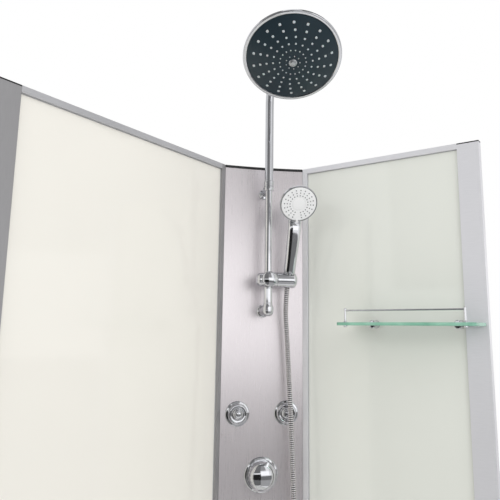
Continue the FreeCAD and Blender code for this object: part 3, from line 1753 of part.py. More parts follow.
hose_radii = []
hose_wire = rounded_wire(hose_points, hose_bend)
hose = group("hose", [swept(hose_wire, hose_radius)])
hose.Shape = hose.Shape.Solids[0]
piece(hose, "shower_hose")
hose_volume = math.pi * float(hose_radius) ** 2 * hose_wire.Length
print("hose length", round(hose_wire.Length, 1), "radii", [round(r) for r in hose_radii])
print("hose volume share", round(hose.Shape.Volume / hose_volume, 4))

# Glass shelf on the back wall: two clamps on the glass, two posts and a thin rail along the front
shelf_start = size("shelf_start", 326)
shelf_length = size("shelf_length", 350)
shelf_depth = size("shelf_depth", 108)
shelf_thickness = size("shelf_thickness", 8)
shelf_height = size("shelf_height", 1534.6)
shelf_back = size("shelf_back", 2)
shelf_corner = size("shelf_corner", 12)
clamp_radius = size("clamp_radius", 11)
clamp_length = size("clamp_length", 32)
clamp_spread = size("clamp_spread", 112)
clamp_play = size("clamp_play", 0.3)
shelf_post_radius = size("shelf_post_radius", 2.5)
shelf_post_inset = size("shelf_post_inset", 24)
shelf_post_back = size("shelf_post_back", 10)
shelf_rail_height = size("shelf_rail_height", 38)
shelf_nut_radius = size("shelf_nut_radius", 5)
shelf_nut_height = size("shelf_nut_height", 4)
shelf_left = corner_x + shelf_start
shelf_right = shelf_left + shelf_length
shelf_rear = corner_y - shelf_back
shelf_front = shelf_rear - shelf_depth
shelf_mid = shelf_left + shelf_length / 2
shelf_half = shelf_length / 2
clamp_face = corner_y + glass_inset
shelf_frame = FreeCAD.Placement(
    V(float(shelf_mid), float(shelf_rear - shelf_depth / 2), 0), FreeCAD.Rotation()
)
shelf = new_body("shelf", shelf_frame)
pad(
    shelf,
    "XY_Plane",
    [rounded_rectangle(shelf_half, shelf_depth / 2, shelf_corner)],
    shelf_thickness,
    shelf_height,
)
shelf_posts_x = [-shelf_half + shelf_post_inset, shelf_half - shelf_post_inset]
shelf_post_y = shelf_post_back - shelf_depth / 2
post_hole = shelf_post_radius + clamp_play
pierce(shelf, "XY_Plane", [(x, shelf_post_y, post_hole) for x in shelf_posts_x])
piece(shelf, "glass_shelf")
shelf_middle = shelf_height + shelf_thickness / 2
clamp_front = clamp_face - clamp_length
clamp_bites = box(
    "clamp_bites",
    (shelf_left - overrun, shelf_front - overrun, shelf_height - clamp_play),
    (shelf_length + overrun * 2, shelf_depth + overrun + clamp_play, shelf_thickness + clamp_play * 2),
)
clamps = []
for i, side in enumerate((-1, 1)):
    clamp_place = framed(
        V(float(shelf_mid + clamp_spread * side), float(clamp_face), float(shelf_middle)), V(0, -1, 0), V(1, 0, 0)
    )
    clamp_turn = turned(
        f"clamp_{i}",
        clamp_place,
        [
            (0, 0),
            (clamp_radius, 0),
            (clamp_radius, clamp_length * 0.85),
            (clamp_radius * 0.8, clamp_length),
            (0, clamp_length),
        ],
    )
    clamps.append(cut(f"clamp_cut_{i}", clamp_turn, clamp_bites))
doc.recompute()
piece(group("clamps", [c.Shape for c in clamps]), "shelf_clamps")
nut_gap = clamp_play
rail_z = shelf_height + shelf_thickness + shelf_rail_height - shelf_post_radius
post_shape = turned(
    "shelf_post",
    None,
    [
        (0, shelf_height - nut_gap - shelf_nut_height),
        (shelf_nut_radius * 0.7, shelf_height - nut_gap - shelf_nut_height),
        (shelf_nut_radius, shelf_height - nut_gap),
        (shelf_post_radius, shelf_height - nut_gap),
        (shelf_post_radius, shelf_height + shelf_thickness + nut_gap),
        (shelf_nut_radius, shelf_height + shelf_thickness + nut_gap),
        (shelf_post_radius, shelf_height + shelf_thickness + nut_gap + shelf_nut_height / 2),
        (shelf_post_radius, rail_z + shelf_post_radius),
        (0, rail_z + shelf_post_radius),
    ],
)
doc.recompute()
post_y = float(shelf_rear - shelf_depth + shelf_post_back)
post_places = [V(float(shelf_mid + x), post_y, 0) for x in shelf_posts_x]
rail_start = V(post_places[0].x + float(shelf_post_radius + seat_gap), post_y, float(rail_z))
rail_length = shelf_length - shelf_post_inset * 2 - shelf_post_radius * 2 - seat_gap * 2
front_rail = rod("front_rail", framed(rail_start, V(1, 0, 0), UP), shelf_post_radius * 0.9, rail_length)
doc.recompute()
rail_shapes = [moved(post_shape.Shape, p) for p in post_places] + [front_rail.Shape]
piece(group("rail_and_posts", rail_shapes), "shelf_rail")

doc.recompute()
for made in doc.Objects:
    bad = [word for word in made.State if word in ("Invalid", "Error")]
    if bad:
        raise RuntimeError(f"{made.Name} ({made.Label}) is {bad}")
os.makedirs("parts", exist_ok=True)
for made in nodes:
    if made.Shape.isNull() or not made.Shape.isValid() or not made.Shape.Solids:
        raise RuntimeError(f"{made.Label} has no valid solid")
    made.Shape.exportStep(f"parts/{made.Label}.step")
print(len(nodes), "pieces written")
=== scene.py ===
import math

import bmesh
import bpy
from mathutils import Matrix, Vector


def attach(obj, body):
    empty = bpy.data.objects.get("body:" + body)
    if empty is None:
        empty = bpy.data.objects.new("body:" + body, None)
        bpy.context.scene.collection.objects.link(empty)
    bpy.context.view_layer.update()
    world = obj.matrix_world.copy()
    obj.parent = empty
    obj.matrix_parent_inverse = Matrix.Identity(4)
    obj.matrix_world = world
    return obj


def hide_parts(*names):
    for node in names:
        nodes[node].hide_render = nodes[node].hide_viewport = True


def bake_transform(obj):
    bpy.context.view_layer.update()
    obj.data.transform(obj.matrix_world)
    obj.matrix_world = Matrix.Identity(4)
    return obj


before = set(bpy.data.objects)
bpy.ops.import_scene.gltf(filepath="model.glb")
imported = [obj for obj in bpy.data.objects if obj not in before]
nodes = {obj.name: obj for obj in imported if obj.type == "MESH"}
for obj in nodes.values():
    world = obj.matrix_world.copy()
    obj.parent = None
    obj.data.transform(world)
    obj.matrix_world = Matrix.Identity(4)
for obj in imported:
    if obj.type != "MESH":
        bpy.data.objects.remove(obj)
scene = bpy.context.scene
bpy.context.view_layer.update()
print("frame loaded:", len(nodes), "nodes")


def addObject(name, data):
    made = bpy.data.objects.new(name, data)
    scene.collection.objects.link(made)
    return made


# The photo's camera, in the cabin's own frame
camera = {
    "place": (0.67856, -1.01013, 1.52234),
    "right": (0.83100644, 0.55619072, 0.00895467),
    "up": (0.09026157, -0.15070975, 0.98444879),
    "ahead": (-0.54889083, 0.81727502, 0.17544342),
    "lens": 41.005,
    "shift": (-0.036, -0.0438),
}
cameraData = bpy.data.cameras.new("camera")
cameraData.sensor_width = 36
cameraData.lens = camera["lens"]
cameraData.shift_x, cameraData.shift_y = camera["shift"]
cameraData.clip_end = 50
cameraObject = addObject("camera", cameraData)
turn = Matrix((camera["right"], camera["up"], [-v for v in camera["ahead"]])).transposed()
cameraObject.matrix_world = Matrix.Translation(camera["place"]) @ turn.to_4x4()
scene.camera = cameraObject

# Directions at the diagonal column: sideways to the right, outward into the cabin, upward.
# Places on it are given in millimetres as across, out from its chord, and height above the floor.
sideways = Vector((1, 1, 0)).normalized()
outward = Vector((1, -1, 0)).normalized()
upward = Vector((0, 0, 1))
columnMiddle = Vector((-247.5, 347.5, 0))


def mm(point):
    return Vector(point) * 0.001


def columnPoint(across, out, height):
    return mm(columnMiddle + sideways * across + outward * out + upward * height)


def placed(origin, zAxis, xAxis):
    z = Vector(zAxis).normalized()
    x = (Vector(xAxis) - z * z.dot(Vector(xAxis))).normalized()
    return Matrix.Translation(origin) @ Matrix((x, z.cross(x), z)).transposed().to_4x4()


def facingOut(across, out, height):
    return placed(columnPoint(across, out, height), outward, sideways)


def standing(across, out):
    return placed(columnPoint(across, out, 0), upward, sideways)


# Mesh tools


# The same outline of (radius, height, corner radius), raised
def raised(outline, height):
    return [(radius, level + height, *corner) for radius, level, *corner in outline]


# Rounds the corners of an outline. A corner is (x, y) or (x, y, radius).
def rounded(corners, closed=False, steps=5):
    points = []
    for i, corner in enumerate(corners):
        here = Vector(corner[:2])
        if len(corner) == 2 or (not closed and i in (0, len(corners) - 1)):
            points.append(here)
            continue
        before = Vector(corners[i - 1][:2]) - here
        after = Vector(corners[(i + 1) % len(corners)][:2]) - here
        reach = corner[2] / max(math.tan(before.angle(after) / 2), 0.05)
        reach = min(reach, before.length * 0.48, after.length * 0.48)
        start, end = here + before.normalized() * reach, here + after.normalized() * reach
        for k in range(steps + 1):
            t = k / steps
            points.append(start.lerp(here, t).lerp(here.lerp(end, t), t))
    return points


# Points along a circle's arc between two points that bulges by rise to the left of start to end.
def arcBetween(start, end, rise, steps):
    a, b = Vector(start), Vector(end)
    chord = b - a
    side = Vector((-chord.y, chord.x)).normalized()
    radius = (chord.length**2 / 4 + rise**2) / (2 * abs(rise))
    centre = (a + b) / 2 + side * (rise - math.copysign(radius, rise))
    first = math.atan2(a.y - centre.y, a.x - centre.x)
    span = math.remainder(math.atan2(b.y - centre.y, b.x - centre.x) - first, math.tau)
    angles = [first + span * k / steps for k in range(steps + 1)]
    return [(centre.x + radius * math.cos(angle), centre.y + radius * math.sin(angle)) for angle in angles]


def finishMesh(bm, name, crease=32):
    bmesh.ops.remove_doubles(bm, verts=bm.verts, dist=1e-7)
    bmesh.ops.recalc_face_normals(bm, faces=bm.faces)
    mesh = bpy.data.meshes.new(name)
    bm.to_mesh(mesh)
    bm.free()
    mesh.shade_smooth()
    mesh.set_sharp_from_angle(angle=math.radians(crease))
    return mesh


# Joins rings of points, all of the same count, into a skin. loop joins the last ring to the first, and
# caps closes both ends.
def skin(bm, rings, loop=False, caps=False):
    made = [[bm.verts.new(p) for p in ring] for ring in rings]
    pairs = list(zip(made, made[1:]))
    if loop:
        pairs.append((made[-1], made[0]))
    for low, high in pairs:
        count = len(low)
        for i in range(count):
            j = (i + 1) % count
            bm.faces.new((low[i], low[j], high[j], high[i]))
    if caps:
        bm.faces.new(made[0])
        bm.faces.new(made[-1])
    return made


# Even steps round a circle: each step's angle, cosine and sine
def roundSteps(count, first=0.0):
    angles = [math.tau * (k + first) / count for k in range(count)]
    return [(angle, math.cos(angle), math.sin(angle)) for angle in angles]


# Turns an outline of (radius, height) points in millimetres about Z. shape may change a radius by angle.
def turnedMesh(name, outline, around, closed=False, shape=None):
    bm = bmesh.new()
    rings = []
    for radius, height in outline:
        ring = []
        for angle, c, s in roundSteps(around):
            r = shape(radius, height, angle) if shape else radius
            ring.append(mm((r * c, r * s, height)))
        rings.append(ring)
    skin(bm, rings, loop=closed)
    return finishMesh(bm, name)


# A tube of round sections along points in metres. radii is one radius or one for each point, in metres.
def sweptMesh(name, line, radii, around, crease=40):
    bm = bmesh.new()
    if not isinstance(radii, (list, tuple)):
        radii = [radii] * len(line)
    rings = []
    side = None
    for i, here in enumerate(line):
        way = (line[min(i + 1, len(line) - 1)] - line[max(i - 1, 0)]).normalized()
        side = way.orthogonal() if side is None else side - way * side.dot(way)
        side.normalize()
        other = way.cross(side)
        rings.append([here + (side * c + other * s) * radii[i] for angle, c, s in roundSteps(around)])
    skin(bm, rings, caps=True)
    return finishMesh(bm, name, crease)


# Reads a smooth line through control points in millimetres, as evenly spaced points in metres.
def smoothLine(name, points, spacing):
    curve = bpy.data.curves.new(name, "CURVE")
    curve.dimensions = "3D"
    curve.resolution_u = 24
    spline = curve.splines.new("NURBS")
    spline.points.add(len(points) - 1)
    for slot, point in zip(spline.points, points):
        slot.co = (*mm(point), 1)
    spline.order_u = 3
    spline.use_endpoint_u = True
    holder = bpy.data.objects.new(name, curve)
    mesh = bpy.data.meshes.new_from_object(holder)
    fine = [v.co.copy() for v in mesh.vertices]
    bpy.data.objects.remove(holder)
    bpy.data.meshes.remove(mesh)
    lengths = [0.0]
    for a, b in zip(fine, fine[1:]):
        lengths.append(lengths[-1] + (b - a).length)
    count = max(2, round(lengths[-1] / spacing))
    line, k = [], 0
    for i in range(count + 1):
        reach = lengths[-1] * i / count
        while k < len(fine) - 2 and lengths[k + 1] < reach:
            k += 1
        share = (reach - lengths[k]) / max(lengths[k + 1] - lengths[k], 1e-9)
        line.append(fine[k].lerp(fine[k + 1], min(share, 1)))
    return line, lengths[-1]


# A block between two corners in millimetres with rounded edges
def blockMesh(name, low, high, edge, segments):
    bm = bmesh.new()
    bmesh.ops.create_cube(bm, size=1)
    low, high = Vector(low), Vector(high)
    for vert in bm.verts:
        share = vert.co + Vector((0.5, 0.5, 0.5))
        vert.co = mm([low[k] + (high[k] - low[k]) * share[k] for k in range(3)])
    bmesh.ops.bevel(bm, geom=bm.edges[:], offset=edge * 0.001, segments=segments, affect="EDGES", profile=0.5)
    return finishMesh(bm, name)


# Points round a rounded rectangle, the same count for every size, so that rings of it can be joined
def roundedRing(halfX, halfY, radius, height, centre=(0, 0), perCorner=9, perSide=10):
    ring = []
    quarters = [(1, -1, -90), (1, 1, 0), (-1, 1, 90), (-1, -1, 180)]
    for i, (sx, sy, start) in enumerate(quarters):
        cx, cy = sx * (halfX - radius), sy * (halfY - radius)
        corner = []
        for k in range(perCorner):
            angle = math.radians(start + 90 * k / (perCorner - 1))
            corner.append(Vector((cx + radius * math.cos(angle), cy + radius * math.sin(angle))))
        ring.extend(corner)
        nextX, nextY, nextStart = quarters[(i + 1) % 4]
        angle = math.radians(nextStart)
        target = Vector((nextX * (halfX - radius), nextY * (halfY - radius)))
        target += Vector((math.cos(angle), math.sin(angle))) * radius
        ring.extend(corner[-1].lerp(target, k / perSide) for k in range(1, perSide))
    return [mm((p.x + centre[0], p.y + centre[1], height)) for p in ring]


# Makes a piece of the cabin from a mesh: it rides on a body and stands for the CAD nodes named.
def addPiece(name, mesh, finish, body, place=None, standsFor=()):
    piece = addObject(name, mesh)
    if place is not None:
        piece.matrix_world = place
    mesh.materials.clear()
    mesh.materials.append(finish)
    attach(piece, body)
    if standsFor:
        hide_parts(*standsFor)
    return piece


# A piece turned from an outline, with the settings of turnedMesh and of addPiece
def addTurned(name, outline, around, finish, body, place, standsFor, closed=False, shape=None):
    mesh = turnedMesh(name, outline, around, closed, shape)
    return addPiece(name, mesh, finish, body, place, standsFor)


# Joins several meshes, each with its own placement, into one mesh.
def joined(name, parts):
    bm = bmesh.new()
    for mesh, place in parts:
        before = len(bm.verts)
        bm.from_mesh(mesh)
        bm.verts.ensure_lookup_table()
        if place is not None:
            bmesh.ops.transform(bm, matrix=place, verts=bm.verts[before:])
    mesh = bpy.data.meshes.new(name)
    bm.to_mesh(mesh)
    bm.free()
    return mesh


# Cuts the second mesh out of the first. Each comes with its own placement.
def cutMesh(name, base, basePlace, tool, toolPlace, crease=40):
    holders = []
    for mesh, place in ((base, basePlace), (tool, toolPlace)):
        holder = addObject(mesh.name, mesh)
        holder.matrix_world = place
        holders.append(holder)
    cut = holders[0].modifiers.new("cut", "BOOLEAN")
    cut.object = holders[1]
    cut.operation = "DIFFERENCE"
    cut.solver = "EXACT"
    bpy.context.view_layer.update()
    made = bpy.data.meshes.new_from_object(holders[0].evaluated_get(bpy.context.evaluated_depsgraph_get()))
    for holder in holders:
        bpy.data.objects.remove(holder)
    made.name = name
    made.shade_smooth()
    made.set_sharp_from_angle(angle=math.radians(crease))
    return made


# Finishes


def linear(red, green, blue):
    def one(value):
        value /= 255
        return value / 12.92 if value <= 0.04045 else ((value + 0.055) / 1.055) ** 2.4

    return (one(red), one(green), one(blue), 1)


def setSockets(node, values):
    for socket, value in values.items():
        node.inputs[socket].default_value = value
    return node


def addNode(tree, kind, values):
    return setSockets(tree.nodes.new(kind), values)


def newPaint(name, values):
    paint = bpy.data.materials.new(name)
    paint.use_nodes = True
    setSockets(paint.node_tree.nodes["Principled BSDF"], values)
    return paint


# What a look may say of the shader's own sockets, with the value that holds when it doesn't
shaderLooks = {
    "metal": ("Metallic", 0),
    "ior": ("IOR", 1.5),
    "coat": ("Coat Weight", 0),
    "coatRough": ("Coat Roughness", 0.05),
    "clear": ("Transmission Weight", 0),
    "specular": ("Specular IOR Level", 0.5),
    "soft": ("Subsurface Weight", 0),
    "softDepth": ("Subsurface Scale", 0.003),
}


# A finish whose shade, roughness and surface vary with one noise, stretched by grain along each axis
def makeFinish(name, colour, **look):
    finish = newPaint(name, {socket: look.get(word, usual) for word, (socket, usual) in shaderLooks.items()})
    tree = finish.node_tree
    link = tree.links.new
    shader = tree.nodes["Principled BSDF"]
    spot = tree.nodes.new("ShaderNodeTexCoord")
    stretch = addNode(tree, "ShaderNodeMapping", {"Scale": look.get("grain", (1, 1, 1))})
    link(spot.outputs["Object"], stretch.inputs["Vector"])
    pattern = {"Scale": look.get("size", 200), "Detail": look.get("detail", 4), "Roughness": 0.6}
    noise = addNode(tree, "ShaderNodeTexNoise", pattern)
    link(stretch.outputs["Vector"], noise.inputs["Vector"])
    other = look.get("other", tuple(v * (1 - look.get("vary", 0.06)) for v in colour))
    shade = tree.nodes.new("ShaderNodeValToRGB")
    for stop, position, tint in zip(shade.color_ramp.elements, (0.3, 0.7), (other, colour)):
        stop.position = position
        stop.color = linear(*tint)
    link(noise.outputs["Fac"], shade.inputs["Fac"])
    link(shade.outputs["Color"], shader.inputs["Base Color"])
    low, high = look.get("rough", (0.2, 0.3))
    spread = {"From Min": 0.3, "From Max": 0.7, "To Min": low, "To Max": high}
    span = addNode(tree, "ShaderNodeMapRange", spread)
    link(noise.outputs["Fac"], span.inputs["Value"])
    link(span.outputs["Result"], shader.inputs["Roughness"])
    if look.get("bump"):
        relief = {"Strength": look["bump"], "Distance": look.get("depth", 0.0002)}
        bump = addNode(tree, "ShaderNodeBump", relief)
        link(noise.outputs["Fac"], bump.inputs["Height"])
        link(bump.outputs["Normal"], shader.inputs["Normal"])
    return finish


chrome = makeFinish(
    "polished_chrome", (226, 227, 231), vary=0.04, metal=1, rough=(0.04, 0.09), size=40, bump=0.02
)
satinChrome = makeFinish(
    "satin_chrome", (206, 209, 213), vary=0.1, metal=1, rough=(0.2, 0.34), grain=(1, 30, 1), size=260,
    bump=0.15,
)
# The hose's rings: chrome lightened with white paint, a painted highlight.
hoseRibPaintedHighlight = makeFinish(
    "hose_rib_painted_highlight", (252, 248, 250), vary=0.06, metal=0.6, rough=(0.2, 0.3), size=300, bump=0.05
)
# The gaps between the hose's rings: near-black, painted shade where the rings meet.
hoseGapPaintedShade = makeFinish(
    "hose_gap_painted_shade", (20, 18, 17), vary=0.2, rough=(0.6, 0.7), size=500, bump=0.1, specular=0.15
)
anodised = {"rough": (0.34, 0.46), "size": 30, "bump": 0.08}
# The wall profiles are one anodised aluminium in three painted shades: the left wall's stiles painted
# darkest, its rails lighter and the back wall's profiles lightest, as light falls on them.
stileAluminiumPaintedShade = makeFinish(
    "stile_aluminium_painted_shade", (166, 165, 167), vary=0.05, metal=0.55, grain=(40, 40, 1), **anodised
)
railAluminiumPaintedLight = makeFinish(
    "rail_aluminium_painted_light", (200, 200, 203), vary=0.05, metal=0.55, grain=(1, 1, 40), **anodised
)
backAluminiumPaintedLight = makeFinish(
    "back_aluminium_painted_light", (232, 232, 236), vary=0.03, metal=0.35, grain=(1, 1, 40), **anodised
)
panelAluminium = makeFinish(
    "panel_aluminium", (236, 230, 233), vary=0.03, metal=0.8, rough=(0.26, 0.34), grain=(60, 60, 0.6),
    size=22, bump=0.05,
)
paintedGlass = {"vary": 0.008, "rough": (0.03, 0.06), "size": 3, "detail": 2, "coat": 0.3}
# Both walls are the same back-painted white glass in two painted shades: the left sheet lighter and warmer,
# the back sheet darker and cooler, as light falls on them.
leftGlassPaintedLight = makeFinish("left_glass_painted_light", (241, 238, 230), **paintedGlass)
backGlassPaintedShade = makeFinish("back_glass_painted_shade", (226, 228, 221), **paintedGlass)
slateFace = makeFinish(
    "slate_face", (24, 45, 55), vary=0.14, rough=(0.3, 0.42), size=900, bump=0.12, depth=0.0001
)
paleSilicone = makeFinish(
    "pale_silicone", (198, 205, 207), vary=0.08, rough=(0.45, 0.6), size=700, bump=0.1, soft=0.1
)
greySilicone = makeFinish(
    "grey_silicone", (112, 114, 116), vary=0.14, rough=(0.5, 0.62), size=900, bump=0.1
)
whitePlastic = makeFinish(
    "white_plastic", (240, 240, 241), vary=0.012, rough=(0.16, 0.24), size=500, bump=0.03, coat=0.25
)
blackPlastic = makeFinish(
    "black_plastic", (34, 34, 36), vary=0.25, rough=(0.4, 0.55), size=1400, bump=0.25
)
rubber = makeFinish("seal_rubber", (126, 126, 128), vary=0.12, rough=(0.55, 0.7), size=900, bump=0.2)
wallRubber = makeFinish(
    "wall_seal_rubber", (186, 186, 188), vary=0.08, rough=(0.5, 0.65), size=900, bump=0.2
)
acrylic = makeFinish(
    "white_acrylic", (240, 240, 238), vary=0.01, rough=(0.1, 0.16), size=60, bump=0.015, coat=0.4
)
galvanised = makeFinish(
    "galvanised_steel", (172, 175, 178), vary=0.22, metal=0.85, rough=(0.34, 0.55), size=90, bump=0.06
)
castBrass = makeFinish(
    "cast_brass", (196, 160, 96), vary=0.22, metal=1, rough=(0.34, 0.55), size=420, bump=0.3
)
copper = makeFinish(
    "copper_pipe", (206, 132, 98), other=(150, 90, 66), metal=1, rough=(0.24, 0.44), grain=(1, 1, 0.2),
    size=60, bump=0.05,
)
greyPlastic = makeFinish(
    "trap_plastic", (222, 222, 220), vary=0.03, rough=(0.3, 0.42), size=700, bump=0.1
)
edgeGlass = makeFinish(
    "green_glass_edge", (168, 218, 196), other=(104, 168, 143), rough=(0.12, 0.2), size=14, detail=2,
    clear=0.25,
)
clearGlass = makeFinish(
    "clear_glass", (214, 236, 228), vary=0.02, rough=(0.01, 0.03), size=10, clear=0.92, ior=1.5
)
print("finishes made")


# Gives CAD nodes that keep their own shape a finish, and softens their edges by bevel millimetres.
def dress(finish, bevel, *names):
    for name in names:
        node = nodes[name]
        node.data.materials.clear()
        node.data.materials.append(finish)
        if bevel:
            weld = node.modifiers.new("weld", "WELD")
            weld.merge_threshold = 0.00001
            edge = node.modifiers.new("edge", "BEVEL")
            edge.width = bevel * 0.001
            edge.segments = 2
            edge.limit_method = "ANGLE"
            edge.angle_limit = math.radians(40)
            edge.harden_normals = True


# Walls

# The frames take their painted shades of one aluminium: darker stiles on the left wall, lighter rails,
# lightest profiles on the back wall.
dress(stileAluminiumPaintedShade, 0.6, "left_end_post", "left_column_stile")
dress(railAluminiumPaintedLight, 0.6, "left_top_rail", "left_bottom_rail")
dress(backAluminiumPaintedLight, 0.6, "back_top_rail", "back_bottom_rail", "back_column_stile", "back_end_post")
# The same glass on both walls, painted lighter on the left and darker at the back.
dress(leftGlassPaintedLight, 0, "left_glass")
dress(backGlassPaintedShade, 0, "back_glass")
dress(blackPlastic, 0.6, "post_caps")
dress(blackPlastic, 0, "column_top_cap")
dress(galvanised, 0.4, "column_straps")

# A grey seal runs round each sheet of glass, just inside its profiles.
walls = {
    "corner": (-330.0, 430.0), "glassFace": 7.0, "alongStart": 180.0, "leftEnd": 825.0, "backEnd": 625.0,
    "low": 178.0, "high": 1985.0, "sealWidth": 1.3, "sealDepth": 2.0,
}


def wallSeal(name, spot, end):
    start, low, high, width = walls["alongStart"], walls["low"], walls["high"], walls["sealWidth"]
    near, far = walls["glassFace"] - walls["sealDepth"], walls["glassFace"] - 0.15
    strips = [
        (start, low, end, low + width), (start, high - width, end, high),
        (start, low + width, start + width, high - width), (end - width, low + width, end, high - width),
    ]
    meshes = []
    for k, (a0, z0, a1, z1) in enumerate(strips):
        p, q = spot(a0, near), spot(a1, far)
        corners = (min(p[0], q[0]), min(p[1], q[1]), z0), (max(p[0], q[0]), max(p[1], q[1]), z1)
        meshes.append((blockMesh(f"{name}_{k}", *corners, 0.4, 2), None))
    return addPiece(name, joined(name, meshes), wallRubber, "cabin")


cornerX, cornerY = walls["corner"]
wallSeal("left_glass_seal", lambda run, depth: (cornerX - depth, cornerY - run), walls["leftEnd"])
wallSeal("back_glass_seal", lambda run, depth: (cornerX + run, cornerY + depth), walls["backEnd"])
print("walls dressed")

# Column panel

panel = {"half": 116.37, "sag": 6.4, "thick": 3.0, "low": 150.0, "high": 1994.0, "across": 64}
panelRadius = (panel["half"] ** 2 + panel["sag"] ** 2) / (2 * panel["sag"])


# How far out the panel's face lies at a place across it
def panelFace(across):
    return panelRadius - panel["sag"] - math.sqrt(panelRadius**2 - across**2)


# Places across the panel, from edge to edge
def acrossSteps(half):
    return [half * (2 * k / panel["across"] - 1) for k in range(panel["across"] + 1)]


def makePanel():
    bm = bmesh.new()
    outline = [(across, panelFace(across)) for across in acrossSteps(panel["half"])]
    outline += [(across, out - panel["thick"]) for across, out in reversed(outline)]
    rings = []
    for height in (panel["low"], panel["high"]):
        rings.append([columnPoint(across, out, height) for across, out in outline])
    skin(bm, rings, caps=True)
    return finishMesh(bm, "column_front", 50)


addPiece("column_front", makePanel(), panelAluminium, "cabin", None, ["column_panel"])


# The black cap's front lip, which hides the panel's top edge
def makeCapLip():
    bm = bmesh.new()
    lip = [(0.15, -1.8), (1.3, -1.4), (1.7, -0.6), (1.7, 5.0), (1.0, 5.8), (0.15, 5.8)]
    rings = []
    for across in acrossSteps(panel["half"] - 0.4):
        face = panelFace(across)
        rings.append([columnPoint(across, face + out, height) for out, height in raised(lip, panel["high"])])
    skin(bm, rings, caps=True)
    return finishMesh(bm, "column_cap_lip", 40)


addPiece("column_cap_lip", makeCapLip(), blackPlastic, "cabin", None, [])
print("column panel made")


def discSeat(radius):
    return panelFace(radius) + 0.15


# Riser: elbow, sleeve, tubes, bracket, collar

elbows = {
    "riser": {"height": 1574.0, "out": 70.0, "flange": 18.0, "way": 1},
    "outlet": {"height": 870.0, "out": 38.0, "flange": 24.0, "way": -1},
    "arm": 12.6, "ball": 15.5, "rise": 17.5, "collar": 12.8,
}


# Where a part that stands upright crosses the way out, in the frame of facingOut
def uprightAt(out):
    return placed((0, 0, out * 0.001), (0, 1, 0), (1, 0, 0))


# A flange and an arm turned about the way out, with an egg-shaped body at its end that ends in a collar
def makeElbow(name, size, node):
    flange, out = size["flange"], size["out"]
    seat = discSeat(flange)
    arm, ball, rise, collar = (elbows[key] for key in ("arm", "ball", "rise", "collar"))
    outline = rounded([
        (0.01, seat), (flange, seat, 0.5), (flange, seat + 2.4, 1.6), (flange * 0.86, seat + 4.6, 2.0),
        (arm, seat + 5.2, 2.4), (arm * 0.97, out - 9, 6), (ball * 0.55, out - 2), (0.01, out),
    ])
    neck = turnedMesh(f"{name}_neck", outline, 96)
    body = [(0.01, -ball)] + arcBetween((ball * 0.25, -ball * 0.985), (ball, 1.0), -ball * 0.28, 14)
    body += rounded([
        (ball, 4.0), (ball * 0.98, rise * 0.55, 2), (collar, rise * 0.86, 1.5), (collar, rise - 0.4, 0.6),
        (0.01, rise),
    ])
    if size["way"] < 0:
        body = [(r, -h) for r, h in body]
    shell = turnedMesh(f"{name}_ball", body, 96)
    edge = ball + 0.35
    ring = rounded([(ball * 0.62, -0.8), (edge, -0.8, 0.5), (edge, 0.8, 0.5), (ball * 0.62, 0.8)])
    band = turnedMesh(f"{name}_band", ring, 96)
    upright = uprightAt(out)
    parts = [(neck, None), (shell, upright), (band, upright)]
    behind = rounded([(0.01, -50), (12, -50, 1), (12, -26, 1), (9, -26), (9, seat)])
    parts.append((turnedMesh(f"{name}_spigot", behind, 48), None))
    mesh = joined(name, parts)
    return addPiece(name, mesh, chrome, "cabin", facingOut(0, 0, size["height"]), [node])


makeElbow("riser_foot_elbow", elbows["riser"], "riser_elbow")
makeElbow("hose_outlet_elbow", elbows["outlet"], "outlet_elbow")

riser = {
    "out": 70.0, "lowerRadius": 10.0, "upperRadius": 12.0, "wall": 1.0, "lowerBottom": 1591.5,
    "lowerTop": 2147.0, "sleeveTop": 1636.2, "sleeveRadius": 12.5, "upperBottom": 1924.0,
    "bendStart": 2155.0, "bendRadius": 140.0, "bendAngle": 147.34, "tip": 10.0, "bracketHeight": 1916.0,
    "lean": 32.66, "toBall": 24.0,
}
riserPlace = standing(0, riser["out"])
tubeRadius = riser["lowerRadius"]
snug = tubeRadius + 0.05
low, high = riser["lowerBottom"], riser["lowerTop"]
bore = tubeRadius - riser["wall"]
lowerTube = rounded([(bore, low), (tubeRadius, low), (tubeRadius, high, 0.5), (bore, high)], closed=True)
addTurned(
    "riser_lower", lowerTube, 64, chrome, "cabin", riserPlace, ["riser_tube_lower"],
    closed=True,
)
high, wide = riser["sleeveTop"], riser["sleeveRadius"]
sleeve = rounded([
    (snug, low), (wide, low, 0.4), (wide, low + 3.2, 0.5), (wide - 0.5, low + 4.0, 0.5),
    (wide - 0.5, high - 4, 0.6), (wide, high - 3.2, 0.6), (wide, high, 0.8), (snug, high, 0.5),
], closed=True)
addTurned(
    "riser_sleeve_tube", sleeve, 96, chrome, "cabin", riserPlace, ["riser_sleeve"], closed=True
)


# The bracket: a round foot on the panel, a slim arm and the eye round the lower tube
def makeBracket():
    seat = discSeat(15)
    outline = rounded([
        (0.01, seat), (15, seat, 0.5), (15, seat + 2.2, 1.2), (12.5, seat + 4.4, 1.5),
        (5.0, seat + 5.0, 2.0), (4.6, 30, 8), (5.0, 59.4), (0.01, 59.4),
    ])
    arm = turnedMesh("bracket_arm", outline, 64)
    eyeOutline = rounded([(snug, -6), (14, -6, 1.4), (14, 6, 1.4), (snug, 6)], closed=True)
    eye = turnedMesh("bracket_eye", eyeOutline, 96, closed=True)
    screw = turnedMesh("bracket_screw", rounded([(0.01, 0), (2.6, 0, 0.6), (2.6, -2.0)]), 24)
    upright = uprightAt(riser["out"])
    side = placed((-0.0139, 0, riser["out"] * 0.001), (1, 0, 0), (0, 1, 0))
    mesh = joined("upper_bracket_arm", [(arm, None), (eye, upright), (screw, side)])
    place = facingOut(0, 0, riser["bracketHeight"])
    return addPiece("upper_bracket_arm", mesh, chrome, "cabin", place, ["upper_bracket"])


